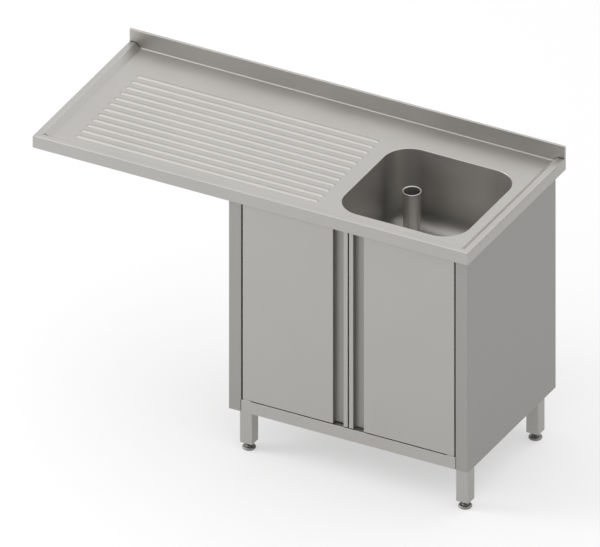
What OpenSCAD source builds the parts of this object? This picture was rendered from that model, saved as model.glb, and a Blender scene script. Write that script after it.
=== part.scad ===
// Free-standing sink cabinet in satin stainless steel.
// A pressed worktop with a draining board and a bowl stands on a two-door cabinet
// at its right-hand end. The left-hand end is carried out over a free appliance bay.
// Frame: X along the worktop, Y from front to back, Z up. The origin lies on the
// floor, under the centre of the worktop.

/* [Worktop] */
// Length of the worktop
top_length = 1400; // [1340:10:1460]
// Depth of the worktop from front to back
top_depth = 600; // [590:5:640]
// Height of the raised rim above the floor
rim_height = 865; // [855:5:900]
// Height of the front and side apron
apron_height = 40; // [36:1:46]
// Thickness of the worktop sheet
top_sheet = 1.5; // [1:0.1:2]
// Width of the flat on top of the rim
rim_flat = 20; // [16:1:24]
// Width of the slope from the rim down to the plate
rim_slope = 18; // [14:1:20]
// Depth of the plate below the rim
rim_drop = 15; // [10:1:16]
// Radius of the outer top edge
top_edge_radius = 3; // [2:0.5:4]
// Height of the backsplash above the rim
splash_rise = 40; // [30:5:80]
// Thickness of the hollow backsplash
splash_thickness = 8; // [6:0.5:12]
// Radius at the foot of the backsplash
splash_fillet = 5; // [3:0.5:8]
// Radius along the top edges of the backsplash
splash_edge_radius = 1.5; // [0.5:0.5:2]

/* [Draining board] */
// Distance from one rib to the next
rib_pitch = 33.75; // [28:0.25:34]
// Width of one rib
rib_width = 17; // [12:1:20]
// Height of one rib above the plate
rib_rise = 3.5; // [2:0.5:5]
// Distance from the left end of the worktop to the ribs
rib_margin_left = 98; // [80:2:110]
// Distance from the ribs to the bowl opening
rib_margin_right = 48; // [40:1:80]
// Distance from the back of the worktop to the middle of the first rib
rib_margin_back = 150; // [120:5:160]
// Least distance from the front of the worktop to the middle of the last rib
rib_margin_front = 76; // [64:1:90]

/* [Bowl] */
// Length of the bowl opening along the worktop
bowl_length = 404; // [344:2:410]
// Width of the bowl opening from front to back
bowl_width = 404; // [344:2:410]
// Depth of the bowl below the plate
bowl_depth = 250; // [180:10:300]
// Corner radius of the bowl opening
bowl_corner = 82; // [60:1:90]
// Radius where the walls meet the floor of the bowl
bowl_fillet = 45; // [25:1:50]
// Radius of the rolled edge of the opening
bowl_roll = 2; // [2:0.5:7]
// Thickness of the bowl sheet
bowl_sheet = 1.2; // [0.8:0.1:1.6]
// Distance from the right end of the worktop to the opening
bowl_margin_right = 70; // [68:1:90]
// Distance from the front of the worktop to the opening
bowl_margin_front = 67; // [66:1:80]
// Distance of the drain to the left of the bowl's middle
drain_left = 103; // [0:1:106]
// Distance of the drain behind the bowl's middle
drain_back = 103; // [0:1:106]

/* [Drain and overflow pipe] */
// Outer diameter of the drain's outlet, which the waste trap screws onto
outlet_diameter = 47.8; // [44:0.1:50]
// Outer diameter of the drain's shank, which holds the nut
shank_diameter = 50.2; // [50.2:0.1:52]
// Bore of the drain body
drain_bore = 40; // [34:0.5:41]
// Outer diameter of the drain flange in the bowl
drain_flange = 86; // [76:1:96]
// Thickness of the drain flange
drain_flange_thickness = 3; // [2:0.5:4]
// Length of the drain below the bowl
tail_length = 54; // [46:1:70]
// Thickness of the seals of the drain
seal_thickness = 2; // [1:0.5:3]
// Thickness of the drain nut
drain_nut_thickness = 12; // [8:1:14]
// Width across the flats of the drain nut
drain_nut_flats = 64; // [60:1:70]
// Outer diameter of the overflow pipe
pipe_diameter = 50; // [46:1:56]
// Wall of the overflow pipe
pipe_wall = 1.5; // [1:0.1:3]
// Outer diameter of the lip at the pipe's top
pipe_lip_diameter = 55; // [51:1:62]
// Height of the lip at the pipe's top
pipe_lip_height = 3; // [2:0.5:6]
// Distance from the plate down to the top of the pipe
pipe_top_below_plate = 78; // [30:2:90]
// Length of the spigot that plugs into the drain
spigot_length = 20; // [12:1:30]

/* [Cabinet] */
// Width of the cabinet
cabinet_width = 770; // [740:5:800]
// Setback of the cabinet's front behind the worktop's front
front_setback = 12; // [8:1:20]
// Overhang of the worktop behind the cabinet
rear_overhang = 51; // [40:1:60]
// Inset of the cabinet's right side under the worktop
side_inset = 5; // [4:0.5:8]
// Height of the cabinet's underside above the floor
cabinet_clearance = 129; // [110:1:150]
// Thickness of the cabinet sheet
cabinet_sheet = 1.2; // [0.8:0.1:1.5]
// Width of the post face on each side of the doors
post_width = 40; // [36:1:50]
// Depth of the fold behind each post face
post_return = 38; // [34:1:50]
// Width of the flanges at the top and the back of the side panels
panel_flange = 30; // [26:1:40]
// Height of the shelf's front rail
shelf_rail = 39; // [30:1:50]
// Height of the back panel's lower edge above the cabinet's underside
back_panel_lift = 10; // [0:1:20]
// Size of the square top rails
top_rail = 30; // [24:1:30]
// Wall of the top rails
top_rail_wall = 1.5; // [1:0.1:3]
// Distance of the rear rail below the flanges that carry the worktop
rear_rail_drop = 8; // [7:1:20]
// Length of the service opening in the back panel
service_length = 300; // [200:10:400]
// Height of the service opening in the back panel
service_height = 180; // [100:10:240]
// Height of the middle of the service opening above the floor
service_level = 420; // [380:10:460]
// Corner radius of the service opening
service_corner = 20; // [10:1:40]

/* [Worktop stiffeners] */
// Height of the channels under the plate
channel_height = 20; // [16:1:22]
// Thickness of the channels
channel_sheet = 1.5; // [1:0.1:2]
// Width of the rear channel
rear_channel_width = 40; // [30:1:44]
// Width of the cross channels
cross_channel_width = 28; // [20:1:28]

/* [Doors] */
// Thickness of a door
door_thickness = 20; // [19:0.5:22]
// Gap around the doors
door_gap = 4; // [3.5:0.1:5]
// Thickness of the door sheet
door_sheet = 1; // [0.8:0.1:1.2]
// Width of the grip channel
grip_width = 34; // [28:1:40]
// Width of the lip beyond the grip channel
grip_lip = 13.5; // [12:0.5:18]
// Radius of the door's hinge edge
door_edge_radius = 3; // [2.5:0.5:4]
// Width of the folded edge around the door's back
door_return = 12; // [8:1:14]
// Overlap of the inner liner behind the folded edge
liner_lap = 8; // [4:1:8]

/* [Door hinges] */
// Distance of the pivot from the door's edge
pivot_inset = 10; // [9.5:0.5:12]
// Diameter of the pivot pins
pin_diameter = 8; // [6:0.5:9]
// Length of pin inside the door
pin_engagement = 14; // [8:1:18]
// Diameter of the plastic bushes
bush_diameter = 14; // [12:0.5:14]
// Length of the plastic bushes
bush_length = 18; // [15:1:24]
// Diameter of the flange on a bush
bush_flange = 17; // [16:0.5:18]
// Thickness of the flange on a bush
bush_flange_thickness = 1; // [0.5:0.1:1.2]
// Width of a hinge plate
hinge_plate_width = 26; // [22:1:30]
// Thickness of a top hinge plate
top_hinge_plate = 3; // [2:0.1:3]
// Thickness of a bottom hinge plate
bottom_hinge_plate = 2; // [1.5:0.1:2]

/* [Catches] */
// Length of a magnetic catch
catch_length = 46; // [40:1:60]
// Height of a magnetic catch
catch_height = 14; // [10:1:18]
// Depth of a magnetic catch from front to back
catch_depth = 26; // [20:1:30]
// Distance of each catch from the middle of the cabinet
catch_offset = 62; // [50:1:90]
// Distance of the inner door buffers from the middle of the cabinet
buffer_offset = 108; // [104:1:140]
// Distance of the outer door buffers from the posts
buffer_inset = 92; // [60:1:120]
// Thickness of the strike plates
strike_thickness = 1; // [0.6:0.1:1.5]
// Diameter of the rubber door buffers
buffer_diameter = 10; // [6:1:14]

/* [Legs and feet] */
// Size of the square legs
leg_size = 40; // [36:1:44]
// Wall of the legs
leg_wall = 1.5; // [1.2:0.1:3]
// Corner radius of the legs
leg_corner = 3; // [2:0.5:4]
// Height of the legs' lower end above the floor
leg_end_height = 25; // [22:1:35]
// Thickness of the plate welded into the top of a leg
leg_plate = 4; // [3:0.5:6]
// Distance of the left-hand legs from the cabinet's left side
left_leg_inset = 34; // [30:1:60]
// Distance of the front legs behind the cabinet's front
front_leg_inset = 2; // [2:0.5:10]
// Distance of the rear legs in front of the cabinet's back
rear_leg_inset = 67; // [50:1:90]
// Thickness of the base rails
base_rail_sheet = 2; // [1.5:0.1:3]
// Height of the plastic inserts in the legs
insert_height = 25; // [18:1:35]
// Diameter of the feet
foot_diameter = 40; // [34:1:46]
// Thickness of the feet's discs
foot_disc = 9; // [7:0.5:11]
// Diameter of the threaded foot stems
stem_diameter = 12; // [10:0.5:14]
// Length of the threaded foot stems
stem_length = 70; // [60:1:80]
// Height of the collar above a foot's disc
foot_collar_height = 4; // [2:0.5:5]
// Diameter of the collar above a foot's disc
foot_collar = 20; // [17:1:26]

/* [Fasteners] */
// Diameter of the bolts that hold the worktop
top_bolt = 6; // [5:0.5:8]
// Diameter of the bolts that hold the legs
leg_bolt = 8; // [6:0.5:9]
// Distance between the two bolts of a leg
leg_bolt_spacing = 18; // [16:1:20]
// Diameter of the back panel and hinge screws
panel_screw = 4; // [3:0.5:5]
// Diameter of the catch screws
catch_screw = 3; // [2.5:0.5:3.5]

/* [Hidden] */
// Clearances
running_clearance = 0.05;
bolt_clearance = 0.1;
seat_clearance = 0.1;
buffer_clearance = 0.3;
channel_clearance = 7;
rail_gap = 4;

// Extra reach of a cutting shape beyond the face that it cuts
cut = 1;

// Least radius of a bend's inside
least_radius = 0.5;

// Width across a hexagon head's flats, and diameter of a round head, over the bolt's diameter
hexagon_ratio = 1.65;
round_head_ratio = 1.8;

// Worktop planes
top_x0 = -top_length / 2;
top_x1 = top_length / 2;
top_y0 = -top_depth / 2;
top_y1 = top_depth / 2;
plate_z = rim_height - rim_drop;
plate_under_z = plate_z - top_sheet;
apron_z = rim_height - apron_height;
splash_z = rim_height + splash_rise;
splash_y = top_y1 - splash_thickness;
rim_width = rim_flat + rim_slope;

// Bowl planes
bowl_x = top_x1 - bowl_margin_right - bowl_length / 2;
bowl_y = top_y0 + bowl_margin_front + bowl_width / 2;
bowl_floor_z = plate_z - bowl_depth;
bowl_half_x = bowl_length / 2 - bowl_roll;
bowl_half_y = bowl_width / 2 - bowl_roll;
bowl_wall_corner = bowl_corner - bowl_roll;
bowl_left_x = bowl_x - bowl_length / 2;
bowl_right_x = bowl_x + bowl_length / 2;
drain_x = bowl_x - drain_left;
drain_y = bowl_y + drain_back;

// Draining board
rib_half = rib_width / 2;
rib_radius = (rib_half * rib_half + rib_rise * rib_rise) / (2 * rib_rise);
rib_axis_z = plate_z + rib_rise - rib_radius;
rib_x0 = top_x0 + rib_margin_left;
rib_x1 = bowl_left_x - rib_margin_right;
rib_count = floor((top_depth - rib_margin_back - rib_margin_front) / rib_pitch) + 1;

// Drain stack, from the bowl's floor upwards and downwards
flange_z0 = bowl_floor_z + seal_thickness;
flange_z1 = flange_z0 + drain_flange_thickness;
outlet_radius = outlet_diameter / 2;
shank_radius = shank_diameter / 2;
drain_hole_radius = shank_radius + bolt_clearance;
washer_z0 = bowl_floor_z - bowl_sheet - seal_thickness;
nut_z0 = washer_z0 - drain_nut_thickness;
tail_z0 = bowl_floor_z - tail_length;
bore_radius = drain_bore / 2;

// Overflow pipe
pipe_radius = pipe_diameter / 2;
pipe_seal_z0 = flange_z1 + seat_clearance;
pipe_seal_z1 = pipe_seal_z0 + seal_thickness;
pipe_z1 = plate_z - pipe_top_below_plate;
spigot_radius = bore_radius - running_clearance;
spigot_wall = 3;
pipe_neck = pipe_radius - pipe_wall - spigot_radius + spigot_wall;

// Cabinet planes
cab_x1 = top_x1 - side_inset;
cab_x0 = cab_x1 - cabinet_width;
cab_y0 = top_y0 + front_setback;
cab_y1 = top_y1 - rear_overhang;
cab_z0 = cabinet_clearance;
cab_z1 = plate_under_z - channel_height;
cab_middle = (cab_x0 + cab_x1) / 2;
sheet = cabinet_sheet;
shelf_z = cab_z0 + shelf_rail;
flange_under_z = cab_z1 - sheet;
skirt_y = cab_y1 - 2 * sheet;

// Channel planes
front_channel_y0 = top_y0 + rim_width;
front_channel_y1 = top_y0 + bowl_margin_front - channel_clearance;
rear_channel_y1 = cab_y1 - channel_clearance;
rear_channel_y0 = rear_channel_y1 - rear_channel_width;
channel_x0 = top_x0 + rim_width;
channel_x1 = top_x1 - top_sheet - channel_clearance;

// Doors, drawn for the right-hand side
door_x1 = cab_x1 - post_width - door_gap;
door_x0 = cab_middle + door_gap / 2;
door_y0 = cab_y0;
door_y1 = cab_y0 + door_thickness;
door_z0 = shelf_z + door_gap;
door_z1 = apron_z - door_gap;
grip_depth = door_thickness - 3 * door_sheet;
grip_x0 = door_x0 + grip_lip;
grip_x1 = grip_x0 + grip_width;

// Hinge axis, drawn for the right-hand side
pivot_x = door_x1 - pivot_inset;
pivot_y = (door_y0 + door_y1) / 2;
pin_radius = pin_diameter / 2;
plate_hole_radius = pin_radius + running_clearance;
hinge_x0 = door_x1 - hinge_plate_width;
collar_radius = bush_diameter / 2;
pin_head = 2;
hinge_screw_inset = 6;
hinge_screw_head = 0.6;
hinge_screw_tip = 4;

// Rails behind the doors
rail_y0 = door_y1 + rail_gap;
rail_y1 = rail_y0 + top_rail;
rail_z0 = cab_z1 - top_rail;
rear_rail_y0 = skirt_y - top_rail;
rear_rail_z1 = flange_under_z - rear_rail_drop;

// Catches
catch_y0 = door_y1 + strike_thickness + buffer_clearance;
catch_y1 = catch_y0 + catch_depth;
catch_z0 = rail_z0 - catch_height;
catch_ear = 8;
catch_skin = 3;
screw_head = 2;

// Legs and feet
leg_left_x = cab_x0 + left_leg_inset + leg_size / 2;
leg_right_x = cab_x1 - leg_size / 2;
leg_front_y = cab_y0 + front_leg_inset + leg_size / 2;
leg_rear_y = cab_y1 - rear_leg_inset - leg_size / 2;
leg_inside = leg_size - 2 * leg_wall;
stem_radius = stem_diameter / 2;
stem_seat = 3;
base_rail_z1 = shelf_z - sheet;
right_base_x1 = cab_x1 - 2 * sheet;

// Worktop bolts
bolt_left_x = cab_x0 + panel_flange / 2;
bolt_right_x = cab_x1 - panel_flange / 2;
bolt_front_y = (front_channel_y0 + front_channel_y1) / 2;
bolt_rear_y = (rear_channel_y0 + rear_channel_y1) / 2;
top_bolt_head = 4;
top_bolt_tip = 1;
top_nut = 5;
leg_bolt_head = 5.5;
leg_bolt_tip = 6;

// Back panel screws
back_screw_levels = 4;
back_screw_z0 = shelf_z + 40;
back_screw_z1 = rail_z0 - 30;
back_screw_inset = 14;
back_screw_length = 10;

steel = "#b3b0aa";
steel_dark = "#8d8a84";
steel_bright = "#c9c8c5";
zinc = "#a5a7aa";
nylon = "#d8d6cf";
black = "#2b2b2c";

$fn = 96;

// Shared shapes

// A block between its lowest and its highest corner
module block(low, high) {
    translate(low) cube(high - low);
}

// A rectangle between its lowest and its highest corner
module sheet_rect(low, high) {
    translate(low) square(high - low);
}

// A flat shape drawn in Y and Z, drawn out along X
module along_x(x0, x1) {
    translate([x0, 0, 0]) rotate([90, 0, 90]) linear_extrude(x1 - x0) children();
}

// A flat shape drawn in X and Z, drawn out along Y
module along_y(y0, y1) {
    translate([0, y1, 0]) rotate([90, 0, 0]) linear_extrude(y1 - y0) children();
}

// A flat shape drawn in X and Y, drawn out along Z
module along_z(z0, z1) {
    translate([0, 0, z0]) linear_extrude(z1 - z0) children();
}

// An upright cylinder between two heights
module post(x, y, z0, z1, radius) {
    translate([x, y, z0]) cylinder(h = z1 - z0, r = radius);
}

// A level cylinder along Y between two depths
module peg(x, z, y0, y1, radius) {
    translate([x, y1, z]) rotate([90, 0, 0]) cylinder(h = y1 - y0, r = radius);
}

// A hexagon prism, given the width across its flats
module hexagon(x, y, z0, z1, flats) {
    translate([x, y, z0]) cylinder(h = z1 - z0, d = flats / cos(30), $fn = 6);
}

// The inside radius of a bend in a sheet of the thickness t
function inner_radius(radius, t) = max(radius - t, least_radius);

// A centred rectangle with round corners
module rounded_rect(length, width, radius) {
    square([length - 2 * radius, width], center = true);
    square([length, width - 2 * radius], center = true);
    for (sx = [-1, 1], sy = [-1, 1])
        translate([sx * (length / 2 - radius), sy * (width / 2 - radius)]) circle(radius);
}

// A rectangle with its two top corners rounded
module round_topped(a0, a1, b0, b1, radius) {
    sheet_rect([a0, b0], [a1, b1 - radius]);
    sheet_rect([a0 + radius, b0], [a1 - radius, b1]);
    for (a = [a0 + radius, a1 - radius]) translate([a, b1 - radius]) circle(radius);
}

// The mirror image of a right-hand piece about the cabinet's middle
module left_hand() {
    translate([2 * cab_middle, 0, 0]) mirror([1, 0, 0]) children();
}

// A right-hand piece and its left-hand mirror image
module both_hands() {
    children();
    left_hand() children();
}

// Worktop

// The space above the plate, between the rims, grown by the thickness t
module plate_recess(t) {
    reach = t * sqrt(1 + pow(rim_slope / rim_drop, 2));
    shift = reach - (rim_drop + t) * rim_slope / rim_drop;
    top = splash_z + cut;
    low = plate_z - t;
    intersection() {
        along_x(top_x0 - cut, top_x1 + cut) difference() {
            polygon([
                [top_y0 + rim_flat - reach, top],
                [top_y0 + rim_flat - reach, rim_height],
                [top_y0 + rim_flat - shift, low],
                [splash_y + t, low],
                [splash_y + t, top]
            ]);
            difference() {
                sheet_rect([splash_y - splash_fillet, low - cut],
                    [splash_y + t + cut, plate_z + splash_fillet]);
                translate([splash_y - splash_fillet, plate_z + splash_fillet])
                    circle(splash_fillet + t);
            }
        }
        along_y(top_y0 - cut, top_y1 + cut) polygon([
            [top_x0 + rim_flat - reach, top],
            [top_x0 + rim_flat - reach, rim_height],
            [top_x0 + rim_flat - shift, low],
            [top_x1 - rim_flat + shift, low],
            [top_x1 - rim_flat + reach, rim_height],
            [top_x1 - rim_flat + reach, top]
        ]);
    }
}

// The outside of the tray with its backsplash, moved inwards by t
module tray(t, z0) {
    radius = inner_radius(top_edge_radius, t);
    intersection() {
        along_x(top_x0 + t, top_x1 - t)
            round_topped(top_y0 + t, top_y1 - t, z0, rim_height - t, radius);
        along_y(top_y0 + t, top_y1 - t)
            round_topped(top_x0 + t, top_x1 - t, z0, rim_height - t, radius);
    }
    along_x(top_x0 + t, top_x1 - t) round_topped(splash_y + t, top_y1 - t, z0, splash_z - t,
        inner_radius(splash_edge_radius, t));
}

// A rib, as a long round-ended bar that lies mostly below the plate
module rib(y, radius) {
    bar = rib_x1 - rib_x0 - rib_width;
    translate([rib_x0 + rib_half, y, rib_axis_z]) rotate([0, 90, 0]) rotate_extrude()
        intersection() {
            union() {
                sheet_rect([0, 0], [radius, bar]);
                circle(radius);
                translate([0, bar]) circle(radius);
            }
            sheet_rect([0, -radius], [radius, bar + radius]);
        }
}

module ribs(radius, z0) {
    for (i = [0 : rib_count - 1])
        intersection() {
            rib(top_y1 - rib_margin_back - i * rib_pitch, radius);
            block([rib_x0 - rib_width, top_y0, z0], [rib_x1 + rib_width, top_y1, rim_height]);
        }
}

module worktop() {
    color(steel) difference() {
        union() {
            difference() {
                tray(0, apron_z);
                plate_recess(0);
                difference() {
                    tray(top_sheet, apron_z - cut);
                    plate_recess(top_sheet);
                }
            }
            ribs(rib_radius, plate_z - top_sheet / 2);
        }
        ribs(rib_radius - top_sheet, plate_under_z - cut);
        translate([bowl_x, bowl_y]) along_z(plate_under_z - cut, plate_z + cut)
            rounded_rect(bowl_length, bowl_width, bowl_corner);
    }
}

// Bowl

// Half of the bowl's section: the hollow for grow = 0, and the outside of the sheet
// for grow = the sheet's thickness
module bowl_half_section(half, grow) {
    roll_z = plate_z - bowl_roll;
    difference() {
        union() {
            sheet_rect([0, bowl_floor_z + bowl_fillet], [half + grow, roll_z]);
            sheet_rect([0, bowl_floor_z - grow], [half - bowl_fillet, roll_z]);
            intersection() {
                translate([half - bowl_fillet, bowl_floor_z + bowl_fillet])
                    circle(bowl_fillet + grow);
                sheet_rect([0, bowl_floor_z - grow], [half + grow, roll_z]);
            }
            sheet_rect([0, roll_z], [half + bowl_roll, plate_z]);
        }
        translate([half + bowl_roll, roll_z]) circle(bowl_roll - grow);
    }
}

module bowl_section(half, grow) {
    bowl_half_section(half, grow);
    mirror([1, 0]) bowl_half_section(half, grow);
}

module bowl_body(grow) {
    dx = bowl_half_x - bowl_wall_corner;
    dy = bowl_half_y - bowl_wall_corner;
    translate([0, bowl_y, 0]) along_x(bowl_x - dx, bowl_x + dx) bowl_section(bowl_half_y, grow);
    translate([bowl_x, 0, 0]) along_y(bowl_y - dy, bowl_y + dy) bowl_section(bowl_half_x, grow);
    for (sx = [-1, 1], sy = [-1, 1])
        translate([bowl_x + sx * dx, bowl_y + sy * dy, 0])
            rotate_extrude() bowl_half_section(bowl_wall_corner, grow);
}

module bowl() {
    color(steel_dark) difference() {
        bowl_body(bowl_sheet);
        bowl_body(0);
        post(drain_x, drain_y, bowl_floor_z - bowl_sheet - cut, bowl_floor_z + cut,
            drain_hole_radius);
    }
}

// Stiffeners under the plate

// A channel that is open at its top
module channel_section(a0, a1, b0, b1, t) {
    difference() {
        sheet_rect([a0, b0], [a1, b1]);
        sheet_rect([a0 + t, b0 + t], [a1 - t, b1 + cut]);
    }
}

module worktop_bolt_places() {
    for (x = [bolt_left_x, bolt_right_x], y = [bolt_front_y, bolt_rear_y])
        translate([x, y, 0]) children();
}

module worktop_bolt_holes() {
    worktop_bolt_places() post(0, 0, flange_under_z - cut, cab_z1 + channel_sheet + cut,
        top_bolt / 2 + bolt_clearance);
}

module front_stiffener() {
    color(steel_dark) difference() {
        along_x(channel_x0, channel_x1) channel_section(front_channel_y0, front_channel_y1,
            cab_z1, plate_under_z, channel_sheet);
        worktop_bolt_holes();
    }
}

module rear_stiffener() {
    color(steel_dark) difference() {
        along_x(channel_x0, channel_x1) channel_section(rear_channel_y0, rear_channel_y1,
            cab_z1, plate_under_z, channel_sheet);
        worktop_bolt_holes();
    }
}

module cross_stiffeners() {
    bay_middle = (channel_x0 + cab_x0 - cross_channel_width) / 2;
    bowl_left = bowl_left_x - channel_clearance - cross_channel_width;
    bowl_right = bowl_right_x + channel_clearance;
    color(steel_dark)
        for (x = [channel_x0, bay_middle, cab_x0, bowl_left, bowl_right])
            along_y(front_channel_y1, rear_channel_y0) channel_section(x,
                x + cross_channel_width, cab_z1, plate_under_z, channel_sheet);
}

// Cabinet panels

module back_screw_places() {
    step = (back_screw_z1 - back_screw_z0) / (back_screw_levels - 1);
    for (x = [cab_x0 + back_screw_inset, cab_x1 - back_screw_inset],
            i = [0 : back_screw_levels - 1])
        translate([x, 0, back_screw_z0 + i * step]) children();
}

module back_screw_holes() {
    back_screw_places() peg(0, 0, skirt_y - cut, cab_y1 + cut,
        panel_screw / 2 + bolt_clearance);
}

module side_panel() {
    difference() {
        union() {
            block([cab_x1 - sheet, cab_y0, cab_z0], [cab_x1, cab_y1, cab_z1]);
            block([cab_x1 - post_width, cab_y0, cab_z0], [cab_x1, cab_y0 + sheet, cab_z1]);
            block([cab_x1 - post_width, cab_y0, shelf_z],
                [cab_x1 - post_width + sheet, cab_y0 + post_return, cab_z1]);
            block([cab_x1 - panel_flange, cab_y1 - sheet, cab_z0], [cab_x1, cab_y1, cab_z1]);
            block([cab_x1 - panel_flange, cab_y0, flange_under_z], [cab_x1, cab_y1, cab_z1]);
        }
        worktop_bolt_holes();
        back_screw_holes();
    }
}

module right_side_panel() {
    color(steel) side_panel();
}

module left_side_panel() {
    color(steel) left_hand() side_panel();
}

module back_panel() {
    color(steel) difference() {
        block([cab_x0 + sheet, skirt_y, cab_z0 + back_panel_lift],
            [cab_x1 - sheet, cab_y1 - sheet, flange_under_z]);
        translate([drain_x, 0, service_level]) along_y(skirt_y - cut, cab_y1 + cut)
            rounded_rect(service_length, service_height, service_corner);
        back_screw_holes();
    }
}

module back_panel_screws() {
    color(zinc) back_screw_places() {
        peg(0, 0, cab_y1, cab_y1 + screw_head, panel_screw * round_head_ratio / 2);
        peg(0, 0, cab_y1 - back_screw_length, cab_y1, panel_screw / 2);
    }
}

module hinge_screw_places() {
    both_hands()
        for (y = [rail_y0 - hinge_screw_inset, door_y0 + hinge_screw_inset])
            translate([hinge_x0 + hinge_screw_inset, y, 0]) children();
}

module pin_holes(z0, z1) {
    both_hands() post(pivot_x, pivot_y, z0, z1, plate_hole_radius);
}

module bottom_shelf() {
    color(steel) difference() {
        union() {
            block([cab_x0 + sheet, cab_y0 + sheet, shelf_z - sheet],
                [cab_x1 - sheet, skirt_y, shelf_z]);
            block([cab_x0 + post_width, cab_y0, cab_z0],
                [cab_x1 - post_width, cab_y0 + sheet, shelf_z]);
            both_hands() block([cab_x1 - 2 * sheet, cab_y0 + sheet, cab_z0],
                [cab_x1 - sheet, skirt_y, shelf_z]);
            block([cab_x0 + sheet, skirt_y - sheet, cab_z0], [cab_x1 - sheet, skirt_y, shelf_z]);
        }
        pin_holes(shelf_z - sheet - cut, shelf_z + cut);
        hinge_screw_places() post(0, 0, shelf_z - sheet - cut, shelf_z + cut,
            panel_screw / 2 + bolt_clearance);
    }
}

module rail_section(a0, a1, b0, b1, t) {
    difference() {
        sheet_rect([a0, b0], [a1, b1]);
        sheet_rect([a0 + t, b0 + t], [a1 - t, b1 - t]);
    }
}

module catch_places() {
    for (side = [-1, 1]) translate([cab_middle + side * catch_offset, 0, 0]) children();
}

module catch_screw_places() {
    catch_places()
        for (side = [-1, 1])
            translate([side * (catch_length - catch_ear) / 2, (catch_y0 + catch_y1) / 2, 0])
                children();
}

module front_top_rail() {
    color(steel) difference() {
        along_x(cab_x0 + post_width, cab_x1 - post_width)
            rail_section(rail_y0, rail_y1, rail_z0, cab_z1, top_rail_wall);
        catch_screw_places() post(0, 0, rail_z0 - cut, rail_z0 + top_rail_wall + cut,
            catch_screw / 2 + bolt_clearance);
    }
}

module rear_top_rail() {
    color(steel) along_x(cab_x0 + sheet, cab_x1 - sheet) rail_section(rear_rail_y0,
        skirt_y, rear_rail_z1 - top_rail, rear_rail_z1, top_rail_wall);
}

// Base rails and legs

module leg_bolt_places(x) {
    for (y = [leg_front_y, leg_rear_y], side = [-1, 1])
        translate([x, y + side * leg_bolt_spacing / 2, 0]) children();
}

module base_rail(x0, bolt_x) {
    difference() {
        along_y(cab_y0 + sheet, skirt_y - sheet) channel_section(x0, x0 + leg_size, cab_z0,
            base_rail_z1, base_rail_sheet);
        leg_bolt_places(bolt_x) post(0, 0, cab_z0 - cut, cab_z0 + base_rail_sheet + cut,
            leg_bolt / 2 + bolt_clearance);
    }
}

module left_base_rail() {
    color(steel_dark) base_rail(leg_left_x - leg_size / 2, leg_left_x);
}

module right_base_rail() {
    color(steel_dark) base_rail(right_base_x1 - leg_size, leg_right_x);
}

module leg(x, y) {
    color(steel) translate([x, y, 0]) difference() {
        along_z(leg_end_height, cab_z0) rounded_rect(leg_size, leg_size, leg_corner);
        along_z(leg_end_height - cut, cab_z0 - leg_plate)
            rounded_rect(leg_inside, leg_inside, inner_radius(leg_corner, leg_wall));
        for (side = [-1, 1]) post(0, side * leg_bolt_spacing / 2, cab_z0 - leg_plate - cut,
            cab_z0 + cut, leg_bolt / 2 + running_clearance);
    }
}

module leg_insert(x, y) {
    plug = leg_inside - 2 * running_clearance;
    color(black) translate([x, y, 0]) difference() {
        along_z(leg_end_height, leg_end_height + insert_height)
            rounded_rect(plug, plug, inner_radius(leg_corner, leg_wall));
        post(0, 0, leg_end_height - cut, leg_end_height + insert_height + cut,
            stem_radius + running_clearance);
    }
}

module leg_bolts() {
    color(zinc)
        for (x = [leg_left_x, leg_right_x])
            leg_bolt_places(x) {
                hexagon(0, 0, cab_z0 + base_rail_sheet, cab_z0 + base_rail_sheet
                    + leg_bolt_head, leg_bolt * hexagon_ratio);
                post(0, 0, cab_z0 - leg_plate - leg_bolt_tip, cab_z0 + base_rail_sheet,
                    leg_bolt / 2);
            }
}

module stem(x, y) {
    color(steel_bright) post(x, y, stem_seat, stem_seat + stem_length, stem_radius);
}

module foot(x, y) {
    edge = foot_disc / 2;
    color(steel_bright) translate([x, y, 0]) rotate_extrude() difference() {
        union() {
            sheet_rect([0, 0], [foot_diameter / 2 - edge, foot_disc]);
            translate([foot_diameter / 2 - edge, edge]) circle(edge);
            sheet_rect([0, 0], [foot_collar / 2, foot_disc + foot_collar_height]);
        }
        sheet_rect([-cut, stem_seat],
            [stem_radius + running_clearance, foot_disc + foot_collar_height + cut]);
    }
}

// Worktop bolts

module worktop_bolts() {
    color(zinc) worktop_bolt_places() {
        hexagon(0, 0, flange_under_z - top_bolt_head, flange_under_z,
            top_bolt * hexagon_ratio);
        post(0, 0, flange_under_z, cab_z1 + channel_sheet + top_nut + top_bolt_tip,
            top_bolt / 2);
    }
}

module worktop_nuts() {
    color(zinc) worktop_bolt_places() difference() {
        hexagon(0, 0, cab_z1 + channel_sheet, cab_z1 + channel_sheet + top_nut,
            top_bolt * hexagon_ratio);
        post(0, 0, cab_z1, cab_z1 + channel_sheet + top_nut + cut,
            top_bolt / 2 + running_clearance);
    }
}

// Hinges

module top_hinge_plates() {
    z0 = cab_z1 - top_hinge_plate;
    color(zinc) difference() {
        both_hands() block([hinge_x0, door_y0 + sheet, z0], [door_x1, rail_y0, cab_z1]);
        pin_holes(z0 - cut, cab_z1 + cut);
    }
}

module bottom_hinge_plates() {
    z1 = shelf_z + bottom_hinge_plate;
    color(zinc) difference() {
        both_hands() block([hinge_x0, door_y0 + sheet, shelf_z], [door_x1, rail_y0, z1]);
        pin_holes(shelf_z - cut, z1 + cut);
        hinge_screw_places() post(0, 0, shelf_z - cut, z1 + cut,
            panel_screw / 2 + bolt_clearance);
    }
}

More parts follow.
